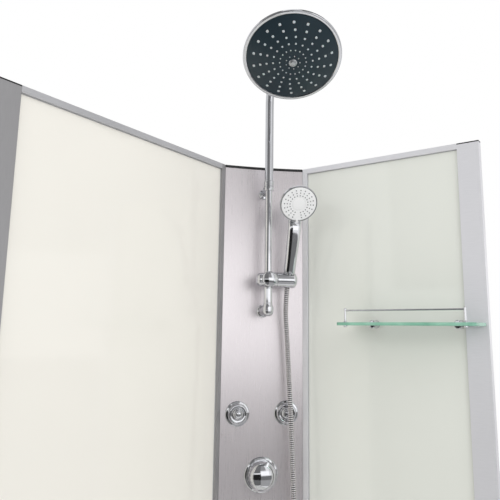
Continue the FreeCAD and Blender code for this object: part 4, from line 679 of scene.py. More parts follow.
makeBracket()
collarBase = riser["bracketHeight"] + 6.3
collarProfile = rounded(raised([
    (10.4, 0), (13.6, 0, 0.5), (14.0, 0.8, 0.5), (14.0, 5.2, 0.4), (13.5, 5.8, 0.3), (13.5, 6.6, 0.3),
    (14.0, 7.2, 0.4), (14.0, 13.6, 1.2), (13.1, 16, 0.6), (12.06, 16), (12.06, 1.4), (10.4, 1.4),
], collarBase), closed=True)
addTurned(
    "telescope_collar", collarProfile, 96, chrome, "lock_collar", riserPlace, ["lock_collar"],
    closed=True,
)
dress(blackPlastic, 0, "riser_carrier")


# The upper tube: up, over in one wide bend, and down to the ball nut
def makeUpperTube():
    line = [columnPoint(0, riser["out"], z) for z in (riser["upperBottom"], 2000, 2076)]
    steps = 60
    for k in range(steps + 1):
        angle = math.radians(riser["bendAngle"]) * k / steps
        out = riser["out"] + riser["bendRadius"] * (1 - math.cos(angle))
        line.append(columnPoint(0, out, riser["bendStart"] + riser["bendRadius"] * math.sin(angle)))
    line.append(line[-1] + (line[-1] - line[-2]).normalized() * riser["tip"] * 0.001)
    mesh = sweptMesh("riser_upper", line, riser["upperRadius"] * 0.001, 64)
    addPiece("riser_upper", mesh, chrome, "arm", None, ["riser_tube_upper"])


makeUpperTube()
lean, bend = math.radians(riser["lean"]), math.radians(riser["bendAngle"])
bendEnd = riser["bendRadius"] * (1 - math.cos(bend))
bendTop = riser["bendStart"] + riser["bendRadius"] * math.sin(bend)
ballOut = riser["out"] + bendEnd + riser["toBall"] * math.sin(lean)
ballHeight = bendTop - riser["toBall"] * math.cos(lean)
ballPoint = columnPoint(0, ballOut, ballHeight)
armWay = outward * math.sin(lean) - upward * math.cos(lean)

nut = {
    "radius": 14.0, "back": -22.0, "nose": 6.0, "noseRadius": 10.5, "mouth": 8.2, "grooves": 36,
    "grooveDepth": 0.5,
}


# A shape for turnedMesh: grooves round the part between two heights
def knurl(count, depth, low, high):
    def shape(radius, height, angle):
        if low < height < high:
            return radius - depth * (0.5 - 0.5 * math.cos(count * angle)) ** 2
        return radius

    return shape


back, nose, mouth = nut["back"], nut["nose"], nut["mouth"]
nutProfile = rounded([
    (12.06, back), (13.2, back, 0.8), (13.8, back + 3, 0.6), (13.8, back + 3.6),
    (nut["radius"], back + 4.2), (nut["radius"], -3.2), (13.8, -2.6), (13.6, -0.6, 1.2),
    (nut["noseRadius"], nose, 0.8), (mouth, nose, 0.4), (mouth, 4.7),
])
nutProfile += arcBetween((8.2, 4.6), (0.01, -9.4), 4.65, 20)  # the cup that holds the ball
grooves = knurl(nut["grooves"], nut["grooveDepth"], back + 3.9, -2.9)
nutPlace = placed(ballPoint, armWay, sideways)
addTurned("arm_ball_nut", nutProfile, 288, chrome, "arm", nutPlace, ["ball_nut"], shape=grooves)
print("riser made")

# Rain head

head = {
    "radius": 120.0, "face": 110.4, "bulge": 25.7, "toRim": 45.0, "side": -7.9,
    "rings": (16.8, 31.8, 47.5, 63.1, 78.8, 94.8), "widths": (2.1, 2.7, 3.7, 4.3, 5.0, 5.5),
    "counts": (9, 18, 18, 18, 18, 18), "firstTurn": 8.5, "swirl": 2.2, "stand": 1.2,
}
turnSide = math.radians(head["side"])
headForward = outward * math.cos(turnSide) + sideways * math.sin(turnSide)
headFacing = headForward * math.sin(lean) - upward * math.cos(lean)
headPlace = placed(ballPoint + headFacing * head["toRim"] * 0.001, -headFacing, sideways)
domeRadius = (head["radius"] ** 2 + head["bulge"] ** 2) / (2 * head["bulge"])


# How high the face lies at a radius
def domeHeight(radius):
    return domeRadius - head["bulge"] - math.sqrt(domeRadius**2 - radius**2)


shellProfile = rounded([(5.06, 22.5), (5.06, 34, 0.4), (11, 34, 0.8), (12, 33, 0.8), (12, 27, 1.2)])
shellProfile += arcBetween((12.4, 25.4), (113.6, 5.4), -3.2, 20)
shellProfile += rounded([
    (115.6, 4.9), (120, 2.6, 1.8), (120, -2.4, 1.2), (118.6, -4.5, 1.6), (113.2, -4.6, 1.0),
    (111.5, -3.6, 0.6), (111.35, 0),
])
shellProfile += [(111.5, 1.2), (112.3, 2.4), (60, 15.5), (12, 22.5)]
addTurned(
    "rain_head_back", shellProfile, 192, chrome, "rain_head", headPlace, ["rain_head_shell"],
    closed=True,
)
faceHole, faceEdge = 4.3, head["face"] + 0.5
faceRun = [faceHole + (head["face"] - faceHole) * k / 40 for k in range(41)]
faceProfile = [(faceHole, domeHeight(faceHole) + 3)] + [(r, domeHeight(r)) for r in faceRun]
faceProfile += [(faceEdge, domeHeight(faceEdge) + 0.5), (faceEdge, domeHeight(faceEdge) + 2.4)]
addTurned(
    "rain_head_plate", faceProfile, 192, slateFace, "rain_head", headPlace, ["rain_head_face"],
)


# A soft square stub, tapered, with a small hollow in its tip
def nozzleStub(bm, origin, direction, along, width, stand):
    place = placed(mm(origin), direction, along)
    rings = []
    hollow = [(0.42, stand), (0.36, stand * 0.35)]
    for share, height in [(1.12, -1.4), (1.1, 0.1), (1.0, stand * 0.8), (0.86, stand)] + hollow:
        half = width / 2 * share
        ring = []
        for angle, c, s in roundSteps(16, 0.5):
            squareness = (abs(c) ** 5 + abs(s) ** 5) ** (-1 / 5)
            ring.append(place @ mm((half * c * squareness, half * s * squareness, height)))
        rings.append(ring)
    made = skin(bm, rings)
    bm.faces.new(made[-1])


def makeNozzles():
    bm = bmesh.new()
    for row, (radius, width, count) in enumerate(zip(head["rings"], head["widths"], head["counts"])):
        for i in range(count):
            angle = -math.radians(head["firstTurn"] + head["swirl"] * row + 360 * i / count)
            c, s = math.cos(angle), math.sin(angle)
            slope = math.asin(radius / domeRadius)
            way = Vector((math.sin(slope) * c, math.sin(slope) * s, -math.cos(slope)))
            spot = (radius * c, radius * s, domeHeight(radius))
            nozzleStub(bm, spot, way, (-s, c, 0), width, head["stand"])
    return finishMesh(bm, "rain_nozzle_stubs", 40)


addPiece(
    "rain_nozzle_stubs", makeNozzles(), paleSilicone, "rain_head", headPlace, ["rain_head_nozzles"],
)
capProfile = rounded(raised([
    (4, -0.3), (10, -0.3, 0.3), (10, -1.7, 0.8), (8.6, -3.4, 1.6), (4.0, -4.6, 2.0), (0.01, -4.8),
], -head["bulge"]))
addTurned(
    "rain_head_cap", capProfile, 64, satinChrome, "rain_head", headPlace, ["rain_head_screw"]
)
stemProfile = [(5.0, 22.6), (5.0, 37.5)] + arcBetween((5.0, 37.55), (0.01, 53.95), -6.36, 24)
addTurned("rain_head_ball", stemProfile, 64, chrome, "rain_head", headPlace, ["ball_stem"])
print("rain head made")

# Slider and handset

slider = {
    "height": 1658.0, "radius": 21.5, "left": -31.5, "split": 24.0, "end": 81.0, "holderSide": 57.0,
    "boreLow": 10.5, "boreHigh": 15.5, "boreReach": 26.0,
}
barrelPlace = placed(columnPoint(0, riser["out"], slider["height"]), sideways, outward)
split, wide = slider["split"], slider["radius"]
barrelProfile = rounded([
    (0.01, slider["left"]), (12.0, slider["left"], 2.0), (18.2, -26.5, 4.0), (19.2, -12, 2.0),
    (19.2, -10.4, 0.6), (21.4, -9.6, 0.6), (wide, 23.0, 0.6), (wide - 0.5, split, 0.4), (0.01, split),
])
addTurned(
    "slider_barrel", barrelProfile, 128, chrome, "slider", barrelPlace, ["slider_body"]
)
knobBase = riser["out"] + slider["radius"] + 0.3
knobProfile = rounded([(5.0, riser["out"] + riser["lowerRadius"] + 0.3)] + raised([
    (5.0, 0), (19.0, 0, 0.4), (20.2, 1.6, 0.8), (21.0, 2.4, 0.5), (21.0, 7.4, 1.2), (19.3, 9.6, 0.8),
    (18.4, 8.8, 0.5), (17.4, 9.4),
], knobBase))
knobProfile += arcBetween((17.3, knobBase + 9.5), (0.01, knobBase + 14.4), -1.25, 14)
addTurned(
    "slider_knob", knobProfile, 240, chrome, "slider_knob", facingOut(0, 0, slider["height"]),
    ["slider_clamp_knob"], shape=knurl(40, 0.35, knobBase + 2.6, knobBase + 7.2),
)

# Leans are in degrees, and faceSpot is the middle of the spray face in the handle's own frame.
handset = {
    "sideLean": 3.0, "lean": 18.0, "faceLean": 34.0, "faceSpot": (0, -11.3, 214.8), "tabWidth": 6.0,
    "tabStart": 43.5, "tabReach": 55.0, "spokes": 20, "rows": (24.9, 32.6, 40.2), "dotWidth": 2.8,
}
sideLean, handleLean, faceLean = (math.radians(handset[key]) for key in ("sideLean", "lean", "faceLean"))
handleWay = sideways * math.sin(sideLean)
handleWay += (outward * math.sin(handleLean) + upward * math.cos(handleLean)) * math.cos(sideLean)
holderPoint = columnPoint(slider["holderSide"], riser["out"], slider["height"])
handlePlace = placed(holderPoint, handleWay, sideways)
holderEnd = slider["end"]
holderProfile = rounded([
    (0.01, split + 0.3), (wide - 0.5, split + 0.3), (wide, split + 0.8, 0.4), (wide, holderEnd - 11, 8),
    (wide * 0.86, holderEnd - 4.5, 5), (wide * 0.5, holderEnd - 0.4, 8), (0.01, holderEnd),
], steps=8)
slope = (slider["boreHigh"] - slider["boreLow"]) / (2 * slider["boreReach"])
boreProfile = [(0.01, -40)]
for height in (-40, -22, 0, 22, 40):
    boreProfile.append((slider["boreLow"] + slope * (slider["boreReach"] + height), height))
boreProfile.append((0.01, 40))
holderMesh = cutMesh(
    "holder_socket", turnedMesh("holder_solid", holderProfile, 128), barrelPlace,
    turnedMesh("holder_bore", boreProfile, 96), handlePlace,
)
addPiece("holder_socket", holderMesh, chrome, "holder", barrelPlace, ["hand_holder"])
faceWay = outward * math.cos(faceLean) - upward * math.sin(faceLean)
facePlace = placed(handlePlace @ mm(handset["faceSpot"]), faceWay, sideways)

# Sections of the handle from its foot up: share of the way, half width, half depth, step back
handle = {
    "foot": 21.55,
    "top": 178.0,
    "sections": [
        (0.0, 14.9, 13.0, 0.0), (0.012, 16.0, 13.9, 0.0), (0.2, 16.2, 14.0, 0.5), (0.45, 16.8, 13.2, 1.2),
        (0.65, 17.5, 12.4, 2.4), (0.8, 18.1, 11.4, 3.8), (0.87, 18.3, 10.8, 6.0),
        (0.92, 18.5, 10.0, 11.6), (1.0, 18.3, 8.7, 16.2), (1.08, 16.8, 6.2, 15.6),
        (1.14, 14.0, 3.4, 10.5),
    ],
}


# Values between the rows of a table, along a smooth curve through them
def blendRows(rows, share):
    k = max(i for i in range(len(rows) - 1) if rows[i][0] <= share or i == 0)
    a, b = rows[k], rows[k + 1]
    t = (share - a[0]) / (b[0] - a[0])
    before, after = rows[max(k - 1, 0)], rows[min(k + 2, len(rows) - 1)]
    values = []
    for i in range(1, len(a)):
        slopeA = (b[i] - before[i]) / max(b[0] - before[0], 1e-6) * (b[0] - a[0])
        slopeB = (after[i] - a[i]) / max(after[0] - a[0], 1e-6) * (b[0] - a[0])
        h = (2 * t**3 - 3 * t**2 + 1, t**3 - 2 * t**2 + t, 3 * t**2 - 2 * t**3, t**3 - t**2)
        values.append(h[0] * a[i] + h[1] * slopeA + h[2] * b[i] + h[3] * slopeB)
    return values


def makeHandle():
    bm = bmesh.new()
    rings = []
    steps = 70
    last = handle["sections"][-1][0]
    for n in range(steps + 1):
        share = last * n / steps if n else 0.0
        wide, deep, back = blendRows(handle["sections"], share)
        height = handle["foot"] + (handle["top"] - handle["foot"]) * share
        ring = []
        for angle, c, s in roundSteps(64):
            full = (abs(c) ** 2.4 + abs(s) ** 2.4) ** (-1 / 2.4)
            ring.append(mm((wide * c * full, back + deep * s * full, height)))
        rings.append(ring)
    skin(bm, rings, caps=True)
    return finishMesh(bm, "handset_handle", 45)


headBack = [(0.01, -22.0)] + arcBetween((23.0, -22.0), (49.6, -9.0), 3.4, 14)
headBack += rounded([
    (51.4, -7.4, 1.5), (52.0, -5.6, 1.0), (52.0, -1.3, 0.8), (51.4, -0.2, 0.8), (50.2, 0.1, 0.6),
    (49.0, -0.2, 0.4), (49.0, -4.0), (0.01, -4.0),
])
addPiece(
    "handset_handle", makeHandle(), chrome, "handset", handlePlace, ["handset_shell"]
)
addTurned(
    "handset_head", headBack, 144, chrome, "handset", facePlace, ["handset_shell"]
)
sealProfile = rounded([(48.55, -3.0), (48.6, 0.25, 0.2), (49.3, 0.3, 0.2), (49.3, -3.0)], closed=True)
addTurned(
    "handset_seal", sealProfile, 144, rubber, "handset", facePlace, [], closed=True
)
dress(chrome, 0, "handset_connector")

plateProfile = rounded([
    (18.2, -3.7), (18.2, 0.6), (18.8, 1.0, 0.4), (30.0, 1.15, 3.0), (45.5, 0.75, 2.0), (48.3, -0.1, 1.2),
    (48.6, -3.7),
])
hubProfile = rounded([(18.0, -3.7), (18.0, 0.7, 0.5), (16.5, 1.3, 1.0), (8.0, 1.8, 4.0), (0.01, 1.9)])
addTurned(
    "handset_plate", plateProfile, 144, whitePlastic, "selector", facePlace, ["handset_selector"],
)
addTurned(
    "handset_centre", hubProfile, 96, whitePlastic, "handset", facePlace, ["handset_hub"],
)
halfTab = handset["tabWidth"] / 2
tabLow, tabHigh = (-halfTab, -handset["tabReach"], 0.35), (halfTab, -handset["tabStart"], 3.3)
tabMesh = blockMesh("selector_tab", tabLow, tabHigh, 1.0, 4)
addPiece("selector_tab", tabMesh, whitePlastic, "selector", facePlace, [])


# The handset's small nozzles: three rings on even spokes, with none on the spoke that holds the tab
def makeSprayDots():
    bm = bmesh.new()
    for radius in handset["rows"]:
        for i in range(handset["spokes"]):
            if i == handset["spokes"] // 2:
                continue
            angle = math.pi / 2 + math.tau * i / handset["spokes"]
            c, s = math.cos(angle), math.sin(angle)
            nozzleStub(bm, (radius * c, radius * s, 0.9), (0, 0, 1), (c, s, 0), handset["dotWidth"], 0.8)
    return finishMesh(bm, "handset_nozzles", 40)


addPiece("handset_nozzles", makeSprayDots(), greySilicone, "selector", facePlace, [])
print("handset made")

# Hose

hose = {
    "radius": 7.3, "core": 5.7, "pitch": 5.4, "ribShare": 0.72, "gapBulge": 0.8, "around": 28,
    "start": 837.1, "drop": 44.0, "lead": 72.0, "foot": 18.1, "tip": 44.0, "step": 0.9,
    "route": [
        (-12, 40, -95), (-38, 43, -143), (-72.5, 47, -194), (-76, 52, -262), (-28, 58, -311),
        (39, 58, -310), (85, 55, -262), (86.5, 53, -190), (87, 51, -85), (85.5, 50, 30), (82.5, 49, 145),
        (79.5, 48, 245), (75, 47, 345), (70.5, 46.5, 460), (66, 43, 555), (61, 41, 660),
    ],
}


# A tube whose radius swells and shrinks once in each turn of the spiral; the rings take a chrome lightened
# with white, a painted highlight, and the gaps between them a near-black finish, painted shade
def ribbedHose(name, line, radii, shadedGaps):
    around = hose["around"]
    mesh = sweptMesh(name, line, radii, around, crease=60)
    piece = addObject(name, mesh)
    mesh.materials.append(hoseRibPaintedHighlight)
    mesh.materials.append(hoseGapPaintedShade)
    for face in mesh.polygons:
        rows = [v // around for v in face.vertices]
        if len(rows) == 4 and shadedGaps[min(rows)] and shadedGaps[max(rows)]:
            face.material_index = 1
    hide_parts("shower_hose")
    return piece


# The long part bends over from the cabin to the slider, and the last few centimetres tilt with the holder.
def makeHose():
    outlet = elbows["outlet"]["out"]
    route = [(0, outlet, 0), (0, outlet, -hose["drop"])] + hose["route"]
    points = [columnPoint(across, out, hose["start"] + height) * 1000 for across, out, height in route]
    points += [handlePlace @ mm((0, 0, -below)) * 1000 for below in (hose["lead"], hose["foot"])]
    line, length = smoothLine("hose_line", points, hose["step"] * 0.001)
    radii, shadedGaps = [], []
    for i in range(len(line)):
        turns = (length * i / (len(line) - 1)) / (hose["pitch"] * 0.001)
        share = turns - math.floor(turns)
        bulge = math.sin(math.pi * share / hose["ribShare"]) ** 0.5 if share < hose["ribShare"] else 0.0
        radii.append((hose["core"] + (hose["radius"] - hose["core"]) * bulge) * 0.001)
        # Rows in the gaps between rings get the near-black painted shade.
        shadedGaps.append(bulge < hose["gapBulge"])
    split = len(line) - 1 - round(hose["tip"] * 0.001 / (length / (len(line) - 1)))
    piece = ribbedHose("chrome_hose", line[: split + 1], radii[: split + 1], shadedGaps[: split + 1])
    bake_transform(piece)
    tip = ribbedHose("chrome_hose_tip", line[split:], radii[split:], shadedGaps[split:])
    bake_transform(tip)
    print("hose length", round(length, 3))


makeHose()
nutTop = 852.2
hoseNutProfile = rounded(raised([
    (0.01, -15), (8.6, -15, 0.5), (10.4, -9.5, 1.0), (11.5, -8.5, 0.5), (11.5, -0.6, 0.5), (10.8, 0, 0.3),
    (0.01, 0),
], nutTop))
addTurned(
    "hose_lower_nut", hoseNutProfile, 240, chrome, "cabin", standing(0, elbows["outlet"]["out"]),
    ["hose_nut"], shape=knurl(30, 0.4, nutTop - 8.2, nutTop - 1.0),
)
print("hose made")

# Body jets

jets = {
    "height": 1293.5, "offset": 69.0, "ringRadius": 34.0, "dots": 5, "dotRing": 3.6, "dotWidth": 1.7,
    "dotStand": 0.7,
}


def onPanel(across, height):
    tilt = math.asin(across / panelRadius)
    way = outward * math.cos(tilt) - sideways * math.sin(tilt)
    return placed(columnPoint(across, panelFace(across), height), way, sideways)


jetRing = jets["ringRadius"]
jetSeat = panelFace(jetRing) + panel["sag"] + 0.15
jetRingProfile = rounded([
    (15.3, jetSeat), (jetRing, jetSeat, 0.4), (jetRing, jetSeat + 1.8, 0.9),
    (jetRing * 0.945, jetSeat + 3.2, 1.5), (jetRing * 0.785, 5.4, 4.0), (jetRing * 0.725, 9.0, 1.2),
    (jetRing * 0.712, 12.1, 0.9), (jetRing * 0.66, 12.5, 0.6), (20.8, 11.6, 0.8), (17.6, 11.2, 0.8),
    (16.6, 12.4, 0.5), (15.1, 12.4, 0.4), (15.1, 10.9), (15.4, 10.2),
], closed=True)
jetBallProfile = [(0.01, -8.5)] + arcBetween((0.3, -8.5), (15.0, 6.5), -4.39, 14)
jetBallProfile += arcBetween((15.0, 6.5), (10.2, 17.5), -2.25, 8)
jetBallProfile += rounded([
    (9.4, 19.6, 0.6), (8.6, 20.3, 0.4), (8.0, 19.6, 0.4), (6.6, 19.4, 0.6), (6.0, 20.6, 0.4),
    (2.0, 21.2, 1.0), (0.01, 21.2),
])
for name, side, body in (("left", -1, "jet_left"), ("right", 1, "jet_right")):
    jetPlace = onPanel(jets["offset"] * side, jets["height"])
    addTurned(
        f"jet_ring_{name}", jetRingProfile, 96, chrome, "cabin", jetPlace, ["jet_rings"],
        closed=True,
    )
    addTurned(
        f"jet_nozzle_{name}", jetBallProfile, 72, chrome, body, jetPlace, [f"jet_ball_{name}"],
    )
    dots = bmesh.new()
    for i in range(jets["dots"]):
        angle = math.tau * i / jets["dots"] + 0.3
        spot = (jets["dotRing"] * math.cos(angle), jets["dotRing"] * math.sin(angle), 20.9)
        nozzleStub(dots, spot, (0, 0, 1), (1, 0, 0), jets["dotWidth"], jets["dotStand"])
    dotMesh = finishMesh(dots, f"jet_dots_{name}")
    addPiece(f"jet_dots_{name}", dotMesh, greySilicone, body, jetPlace, [])
print("jets made")

# Mixer and diverter

mixer = {
    "height": 1132.0, "plate": 47.0, "dome": 38.5, "domeWall": 14.0, "domeRise": 22.5, "tabWidth": 8.4,
    "tabMiddle": 30.0, "tabLean": -12.0, "tabTurn": -19.0, "ridgeSpread": 48.0, "ridgePace": 26,
    "ridgeDepth": 1.1, "ridgeStart": 30.0,
}
mixerSeat = discSeat(mixer["plate"])


# The round plate under a handle, with a hole for its spindle
def coverProfile(hole, radius, seat):
    return rounded(raised([
        (hole, 0), (radius, 0, 0.4), (radius, 1.5, 0.8), (radius * 0.955, 3.2, 1.5),
        (radius * 0.88, 4.4, 1.2), (radius * 0.86, 5.0, 0.6), (hole, 5.0),
    ], seat))


mixerPlace = facingOut(0, 0, mixer["height"])
addTurned(
    "mixer_cover", coverProfile(17.8, mixer["plate"], mixerSeat), 144, chrome, "cabin", mixerPlace,
    ["mixer_plate"],
)
domeLow = mixerSeat + 6.0
dome, shoulder = mixer["dome"], domeLow + mixer["domeWall"]
domeProfile = rounded([
    (5.05, domeLow), (dome - 0.9, domeLow, 0.6), (dome, domeLow + 1.2, 0.8), (dome, shoulder),
])
for k in range(1, 41):
    angle = math.pi / 2 * k / 40
    domeProfile.append((max(dome * math.cos(angle), 0.01), shoulder + mixer["domeRise"] * math.sin(angle)))


# Grip ridges on the left flank only, where fingers turn the handle
def flankRidges(radius, height, angle):
    spread, start = mixer["ridgeSpread"], mixer["ridgeStart"]
    away = math.degrees(math.remainder(angle - math.pi, math.tau))
    if radius < start or height < domeLow + 1.5 or abs(away) > spread:
        return radius
    fade = min(1.0, (spread - abs(away)) / 6) * min(1.0, (radius - start) / 3)
    wave = 0.5 - 0.5 * math.cos(math.radians(away) * mixer["ridgePace"])
    return radius - mixer["ridgeDepth"] * fade * wave**0.7


addTurned(
    "mixer_dome", domeProfile, 288, chrome, "mixer_lever", mixerPlace, ["mixer_handle"],
    shape=flankRidges,
)
halfTab = mixer["tabWidth"] / 2
tabMesh = blockMesh("mixer_tab", (-halfTab, -11.0, -14.0), (halfTab, 10.0, 5.5), 1.6, 4)
tabPlace = mixerPlace @ Matrix.Rotation(math.radians(mixer["tabTurn"]), 4, "Z")
tabPlace = tabPlace @ Matrix.Translation(mm((0, mixer["tabMiddle"], domeLow + 23)))
tabPlace = tabPlace @ Matrix.Rotation(math.radians(mixer["tabLean"]), 4, "X")
addPiece("mixer_tab", tabMesh, chrome, "mixer_lever", tabPlace, [])
dress(castBrass, 0, "mixer_spindle")

diverter = {"height": 985.0, "plate": 33.0, "ridges": 24, "ridgeDepth": 1.0}
diverterSeat = discSeat(diverter["plate"])
diverterPlace = facingOut(0, 0, diverter["height"])
addTurned(
    "diverter_cover", coverProfile(13.3, diverter["plate"], diverterSeat), 120, chrome, "cabin",
    diverterPlace, ["diverter_plate"],
)
knobLow = diverterSeat + 6.0
diverterProfile = rounded([(5.0, -1.7)] + raised([
    (5.0, 0), (22.2, 0, 0.6), (23.0, 1.4, 0.8), (23.0, 10.0, 2.0), (21.4, 21.0, 3.0), (18.0, 25.4, 2.0),
    (15.5, 25.0, 0.6), (0.01, 25.8),
], knobLow))
ridges = knurl(diverter["ridges"], diverter["ridgeDepth"], knobLow + 2.0, knobLow + 19.0)
addTurned(
    "diverter_grip", diverterProfile, 288, chrome, "diverter", diverterPlace, ["diverter_knob"],
    shape=ridges,
)
pointer = blockMesh("diverter_pointer", (-1.2, 8.0, knobLow + 25.2), (1.2, 17.0, knobLow + 26.0), 0.35, 2)
addPiece("diverter_pointer", pointer, blackPlastic, "diverter", diverterPlace, [])
dress(castBrass, 0.8, "mixer_body", "diverter_body")
dress(whitePlastic, 0, "valve_cartridges")
dress(copper, 0, "internal_pipes")
dress(blackPlastic, 0.5, "jet_bodies", "jet_backnuts")
print("mixer and diverter made")

# Shelf

shelf = {
    "left": -4.0, "right": 346.0, "front": 320.0, "rear": 428.0, "low": 1534.6, "high": 1542.6,
    "corner": 12.0, "clamps": (59.0, 283.0), "clampBack": 437.0, "clampHeight": 1538.6,
    "posts": (20.0, 322.0), "railFront": 330.0, "railHeight": 1572.4, "railRadius": 2.3,
}


# The shelf's sheet with ground edges; its rim takes the green of thick glass
def makeShelf():
    bm = bmesh.new()
    left, right, front, rear = (shelf[key] for key in ("left", "right", "front", "rear"))
    low, high, corner = shelf["low"], shelf["high"], shelf["corner"]
    centre = ((left + right) / 2, (front + rear) / 2)
    halfX, halfY = (right - left) / 2, (rear - front) / 2
    edge = ((1.0, low), (0.25, low + 0.25), (0, low + 1.0), (0, high - 1.0), (0.25, high - 0.25), (1.0, high))
    rings = [roundedRing(halfX - inset, halfY - inset, corner - inset, z, centre) for inset, z in edge]
    skin(bm, rings, caps=True)
    return finishMesh(bm, "shelf_sheet", 50)


shelfPiece = addPiece(
    "shelf_sheet", makeShelf(), clearGlass, "cabin", None, ["glass_shelf"]
)
shelfPiece.data.materials.append(edgeGlass)
for face in shelfPiece.data.polygons:
    face.material_index = 0 if abs(face.normal.z) > 0.99 else 1

clampProfile = rounded([
    (0.01, 0), (11, 0, 0.3), (11, 2.5, 0.5), (10.2, 3.2, 0.5), (10.2, 26.5, 0.6), (11.0, 27.4, 0.6),
    (11.0, 29.6, 1.0), (8.8, 32, 1.2), (0.01, 32),
])
for k, across in enumerate(shelf["clamps"]):
    place = placed(mm((across, shelf["clampBack"], shelf["clampHeight"])), (0, -1, 0), (1, 0, 0))
    addTurned(f"shelf_clamp_{k}", clampProfile, 64, chrome, "cabin", place, ["shelf_clamps"])
postProfile = rounded([
    (0.01, 1530.3), (3.5, 1530.3, 0.5), (5.0, 1532.0, 0.6), (5.0, 1534.3, 0.3), (2.9, 1534.3),
    (2.9, 1542.9), (5.0, 1542.9, 0.3), (5.0, 1544.4, 0.6), (2.9, 1546.2, 0.6), (2.9, 1577.0, 0.5),
    (3.2, 1577.6, 0.6), (3.2, 1578.4, 0.6), (0.01, 1578.8),
])
for k, across in enumerate(shelf["posts"]):
    place = placed(mm((across, shelf["railFront"], 0)), (0, 0, 1), (1, 0, 0))
    addTurned(f"shelf_post_{k}", postProfile, 48, chrome, "cabin", place, ["shelf_rail"])
railLine = [mm((x, shelf["railFront"], shelf["railHeight"])) for x in (21.5, 120, 220, 320.5)]
railMesh = sweptMesh("shelf_front_rail", railLine, shelf["railRadius"] * 0.001, 32)
addPiece("shelf_front_rail", railMesh, chrome, "cabin", None, ["shelf_rail"])
print("shelf made")

# Tray and waste

tray = {
    "half": (350.0, 450.0), "basin": (305.0, 405.0), "floor": 65.0, "rim": 150.0,
    "waste": (-150.0, 330.0), "wasteHole": 46.0, "notch": ((-360, 298, 15), (-340, 362, 62)),
    "bars": {"rows": 17, "columns": 10, "start": (-198, -304), "step": (44, 38), "reach": 225, "gap": 84},
}


# One closed skin: up the skirt, over the rim, down the basin to the waste hole and back underneath
def makeTray():
    bm = bmesh.new()
    rings = []
    hole, spot, floor, rim = tray["wasteHole"], tray["waste"], tray["floor"], tray["rim"]

    def around(halves, grow, height, radius):
        return roundedRing(halves[0] + grow, halves[1] + grow, radius, height)

    def towards(edge, circle, shares):
        for share in shares:
            rings.append([b.lerp(s, share) for b, s in zip(edge, circle)])

    skirt = ((-0.6, 20), (0, 21), (0, 80), (0, rim - 4), (-0.5, rim - 1.7), (-2.0, rim - 0.3), (-4.0, rim))
    for grow, height in (*skirt, (-22, rim)):
        rings.append(around(tray["half"], grow, height, 12))
    for level in (
        (4.0, rim, 64), (1.2, rim - 0.5, 61.2), (0, rim - 2, 60), (-1.5, rim - 8, 58.5), (-5, 95, 55),
        (-6.5, 80, 53.5), (-8.5, 71.5, 51.5), (-12, 67.2, 48), (-16, 65.3, 44), (-18, floor, 42),
    ):
        rings.append(around(tray["basin"], *level))
    mouth = roundedRing(hole + 2, hole + 2, hole + 1.99, floor, spot)
    towards(around(tray["basin"], -18, floor, 42), mouth, (0.35, 0.6, 0.8, 0.92, 1))
    rings.append(roundedRing(hole + 0.01, hole + 0.01, hole, floor - 0.6, spot))
    under = roundedRing(hole + 0.01, hole + 0.01, hole, floor - 5, spot)
    rings.append(under)
    towards(around(tray["basin"], -20, floor - 5, 42), under, (0.8, 0.5, 0.2))
    for level in ((-20, 60, 42), (-9, 62, 50), (-2, 78, 57), (3, 130, 63), (5, rim - 5.2, 65)):
        rings.append(around(tray["basin"], *level))
    for grow, height in ((-8, rim - 5), (-5.2, rim - 8), (-5, 100), (-5, 20.3), (-4.6, 20.0)):
        rings.append(around(tray["half"], grow, height, 8))
    skin(bm, rings, loop=True)
    shell = finishMesh(bm, "tray_whole", 28)
    notch = blockMesh("tray_notch", *tray["notch"], 2.0, 3)
    return cutMesh("tray_shell", shell, Matrix(), notch, Matrix(), 28)


addPiece("tray_shell", makeTray(), acrylic, "cabin", None, ["shower_tray"])


# Low anti-slip bars in staggered rows over the basin's floor
def makeGripBars():
    bars, (wasteX, wasteY) = tray["bars"], tray["waste"]
    (startX, startY), (stepX, stepY) = bars["start"], bars["step"]
    parts = []
    bar = blockMesh("grip_bar", (-9, -2.2, -0.3), (9, 2.2, 0.7), 0.65, 2)
    for row in range(bars["rows"]):
        odd = row % 2
        for k in range(bars["columns"]):
            x, y = startX + stepX * (k + odd / 2), startY + stepY * row
            if abs(x) > bars["reach"] or math.hypot(x - wasteX, y - wasteY) < bars["gap"]:
                continue
            spin = Matrix.Rotation(math.radians(45 if odd else -45), 4, "Z")
            parts.append((bar, Matrix.Translation(mm((x, y, tray["floor"]))) @ spin))
    return joined("tray_grip_bars", parts)


addPiece("tray_grip_bars", makeGripBars(), acrylic, "cabin", None, [])
wastePlace = Matrix.Translation(mm((*tray["waste"], 0)))
flangeProfile = rounded([
    (37, 55.7), (38.7, 55.7), (38.7, 65.3), (56, 65.3, 0.3), (56, 66.0, 0.5), (54.2, 67.3, 0.8),
    (40, 67.3, 0.8), (37, 66.2, 0.6),
], closed=True)
addTurned(
    "waste_ring", flangeProfile, 128, chrome, "cabin", wastePlace, ["waste_flange"],
    closed=True,
)
coverTop = rounded([
    (0.01, 55.6), (34, 55.6, 1), (36, 57.0, 0.8), (36, 67.6), (50, 67.6, 0.3), (50, 68.8, 0.7),
    (48.4, 70.2, 1.2), (38.0, 72.4, 3.0), (20.0, 73.3, 6.0), (0.01, 73.6),
])
addTurned("waste_dome", coverTop, 128, chrome, "waste_cover", wastePlace, ["waste_cover"])
dress(greyPlastic, 0.6, "waste_trap")
dress(galvanised, 1.2, "tray_frame")
dress(blackPlastic, 0.5, "tray_feet")
print("tray made")

# Studio

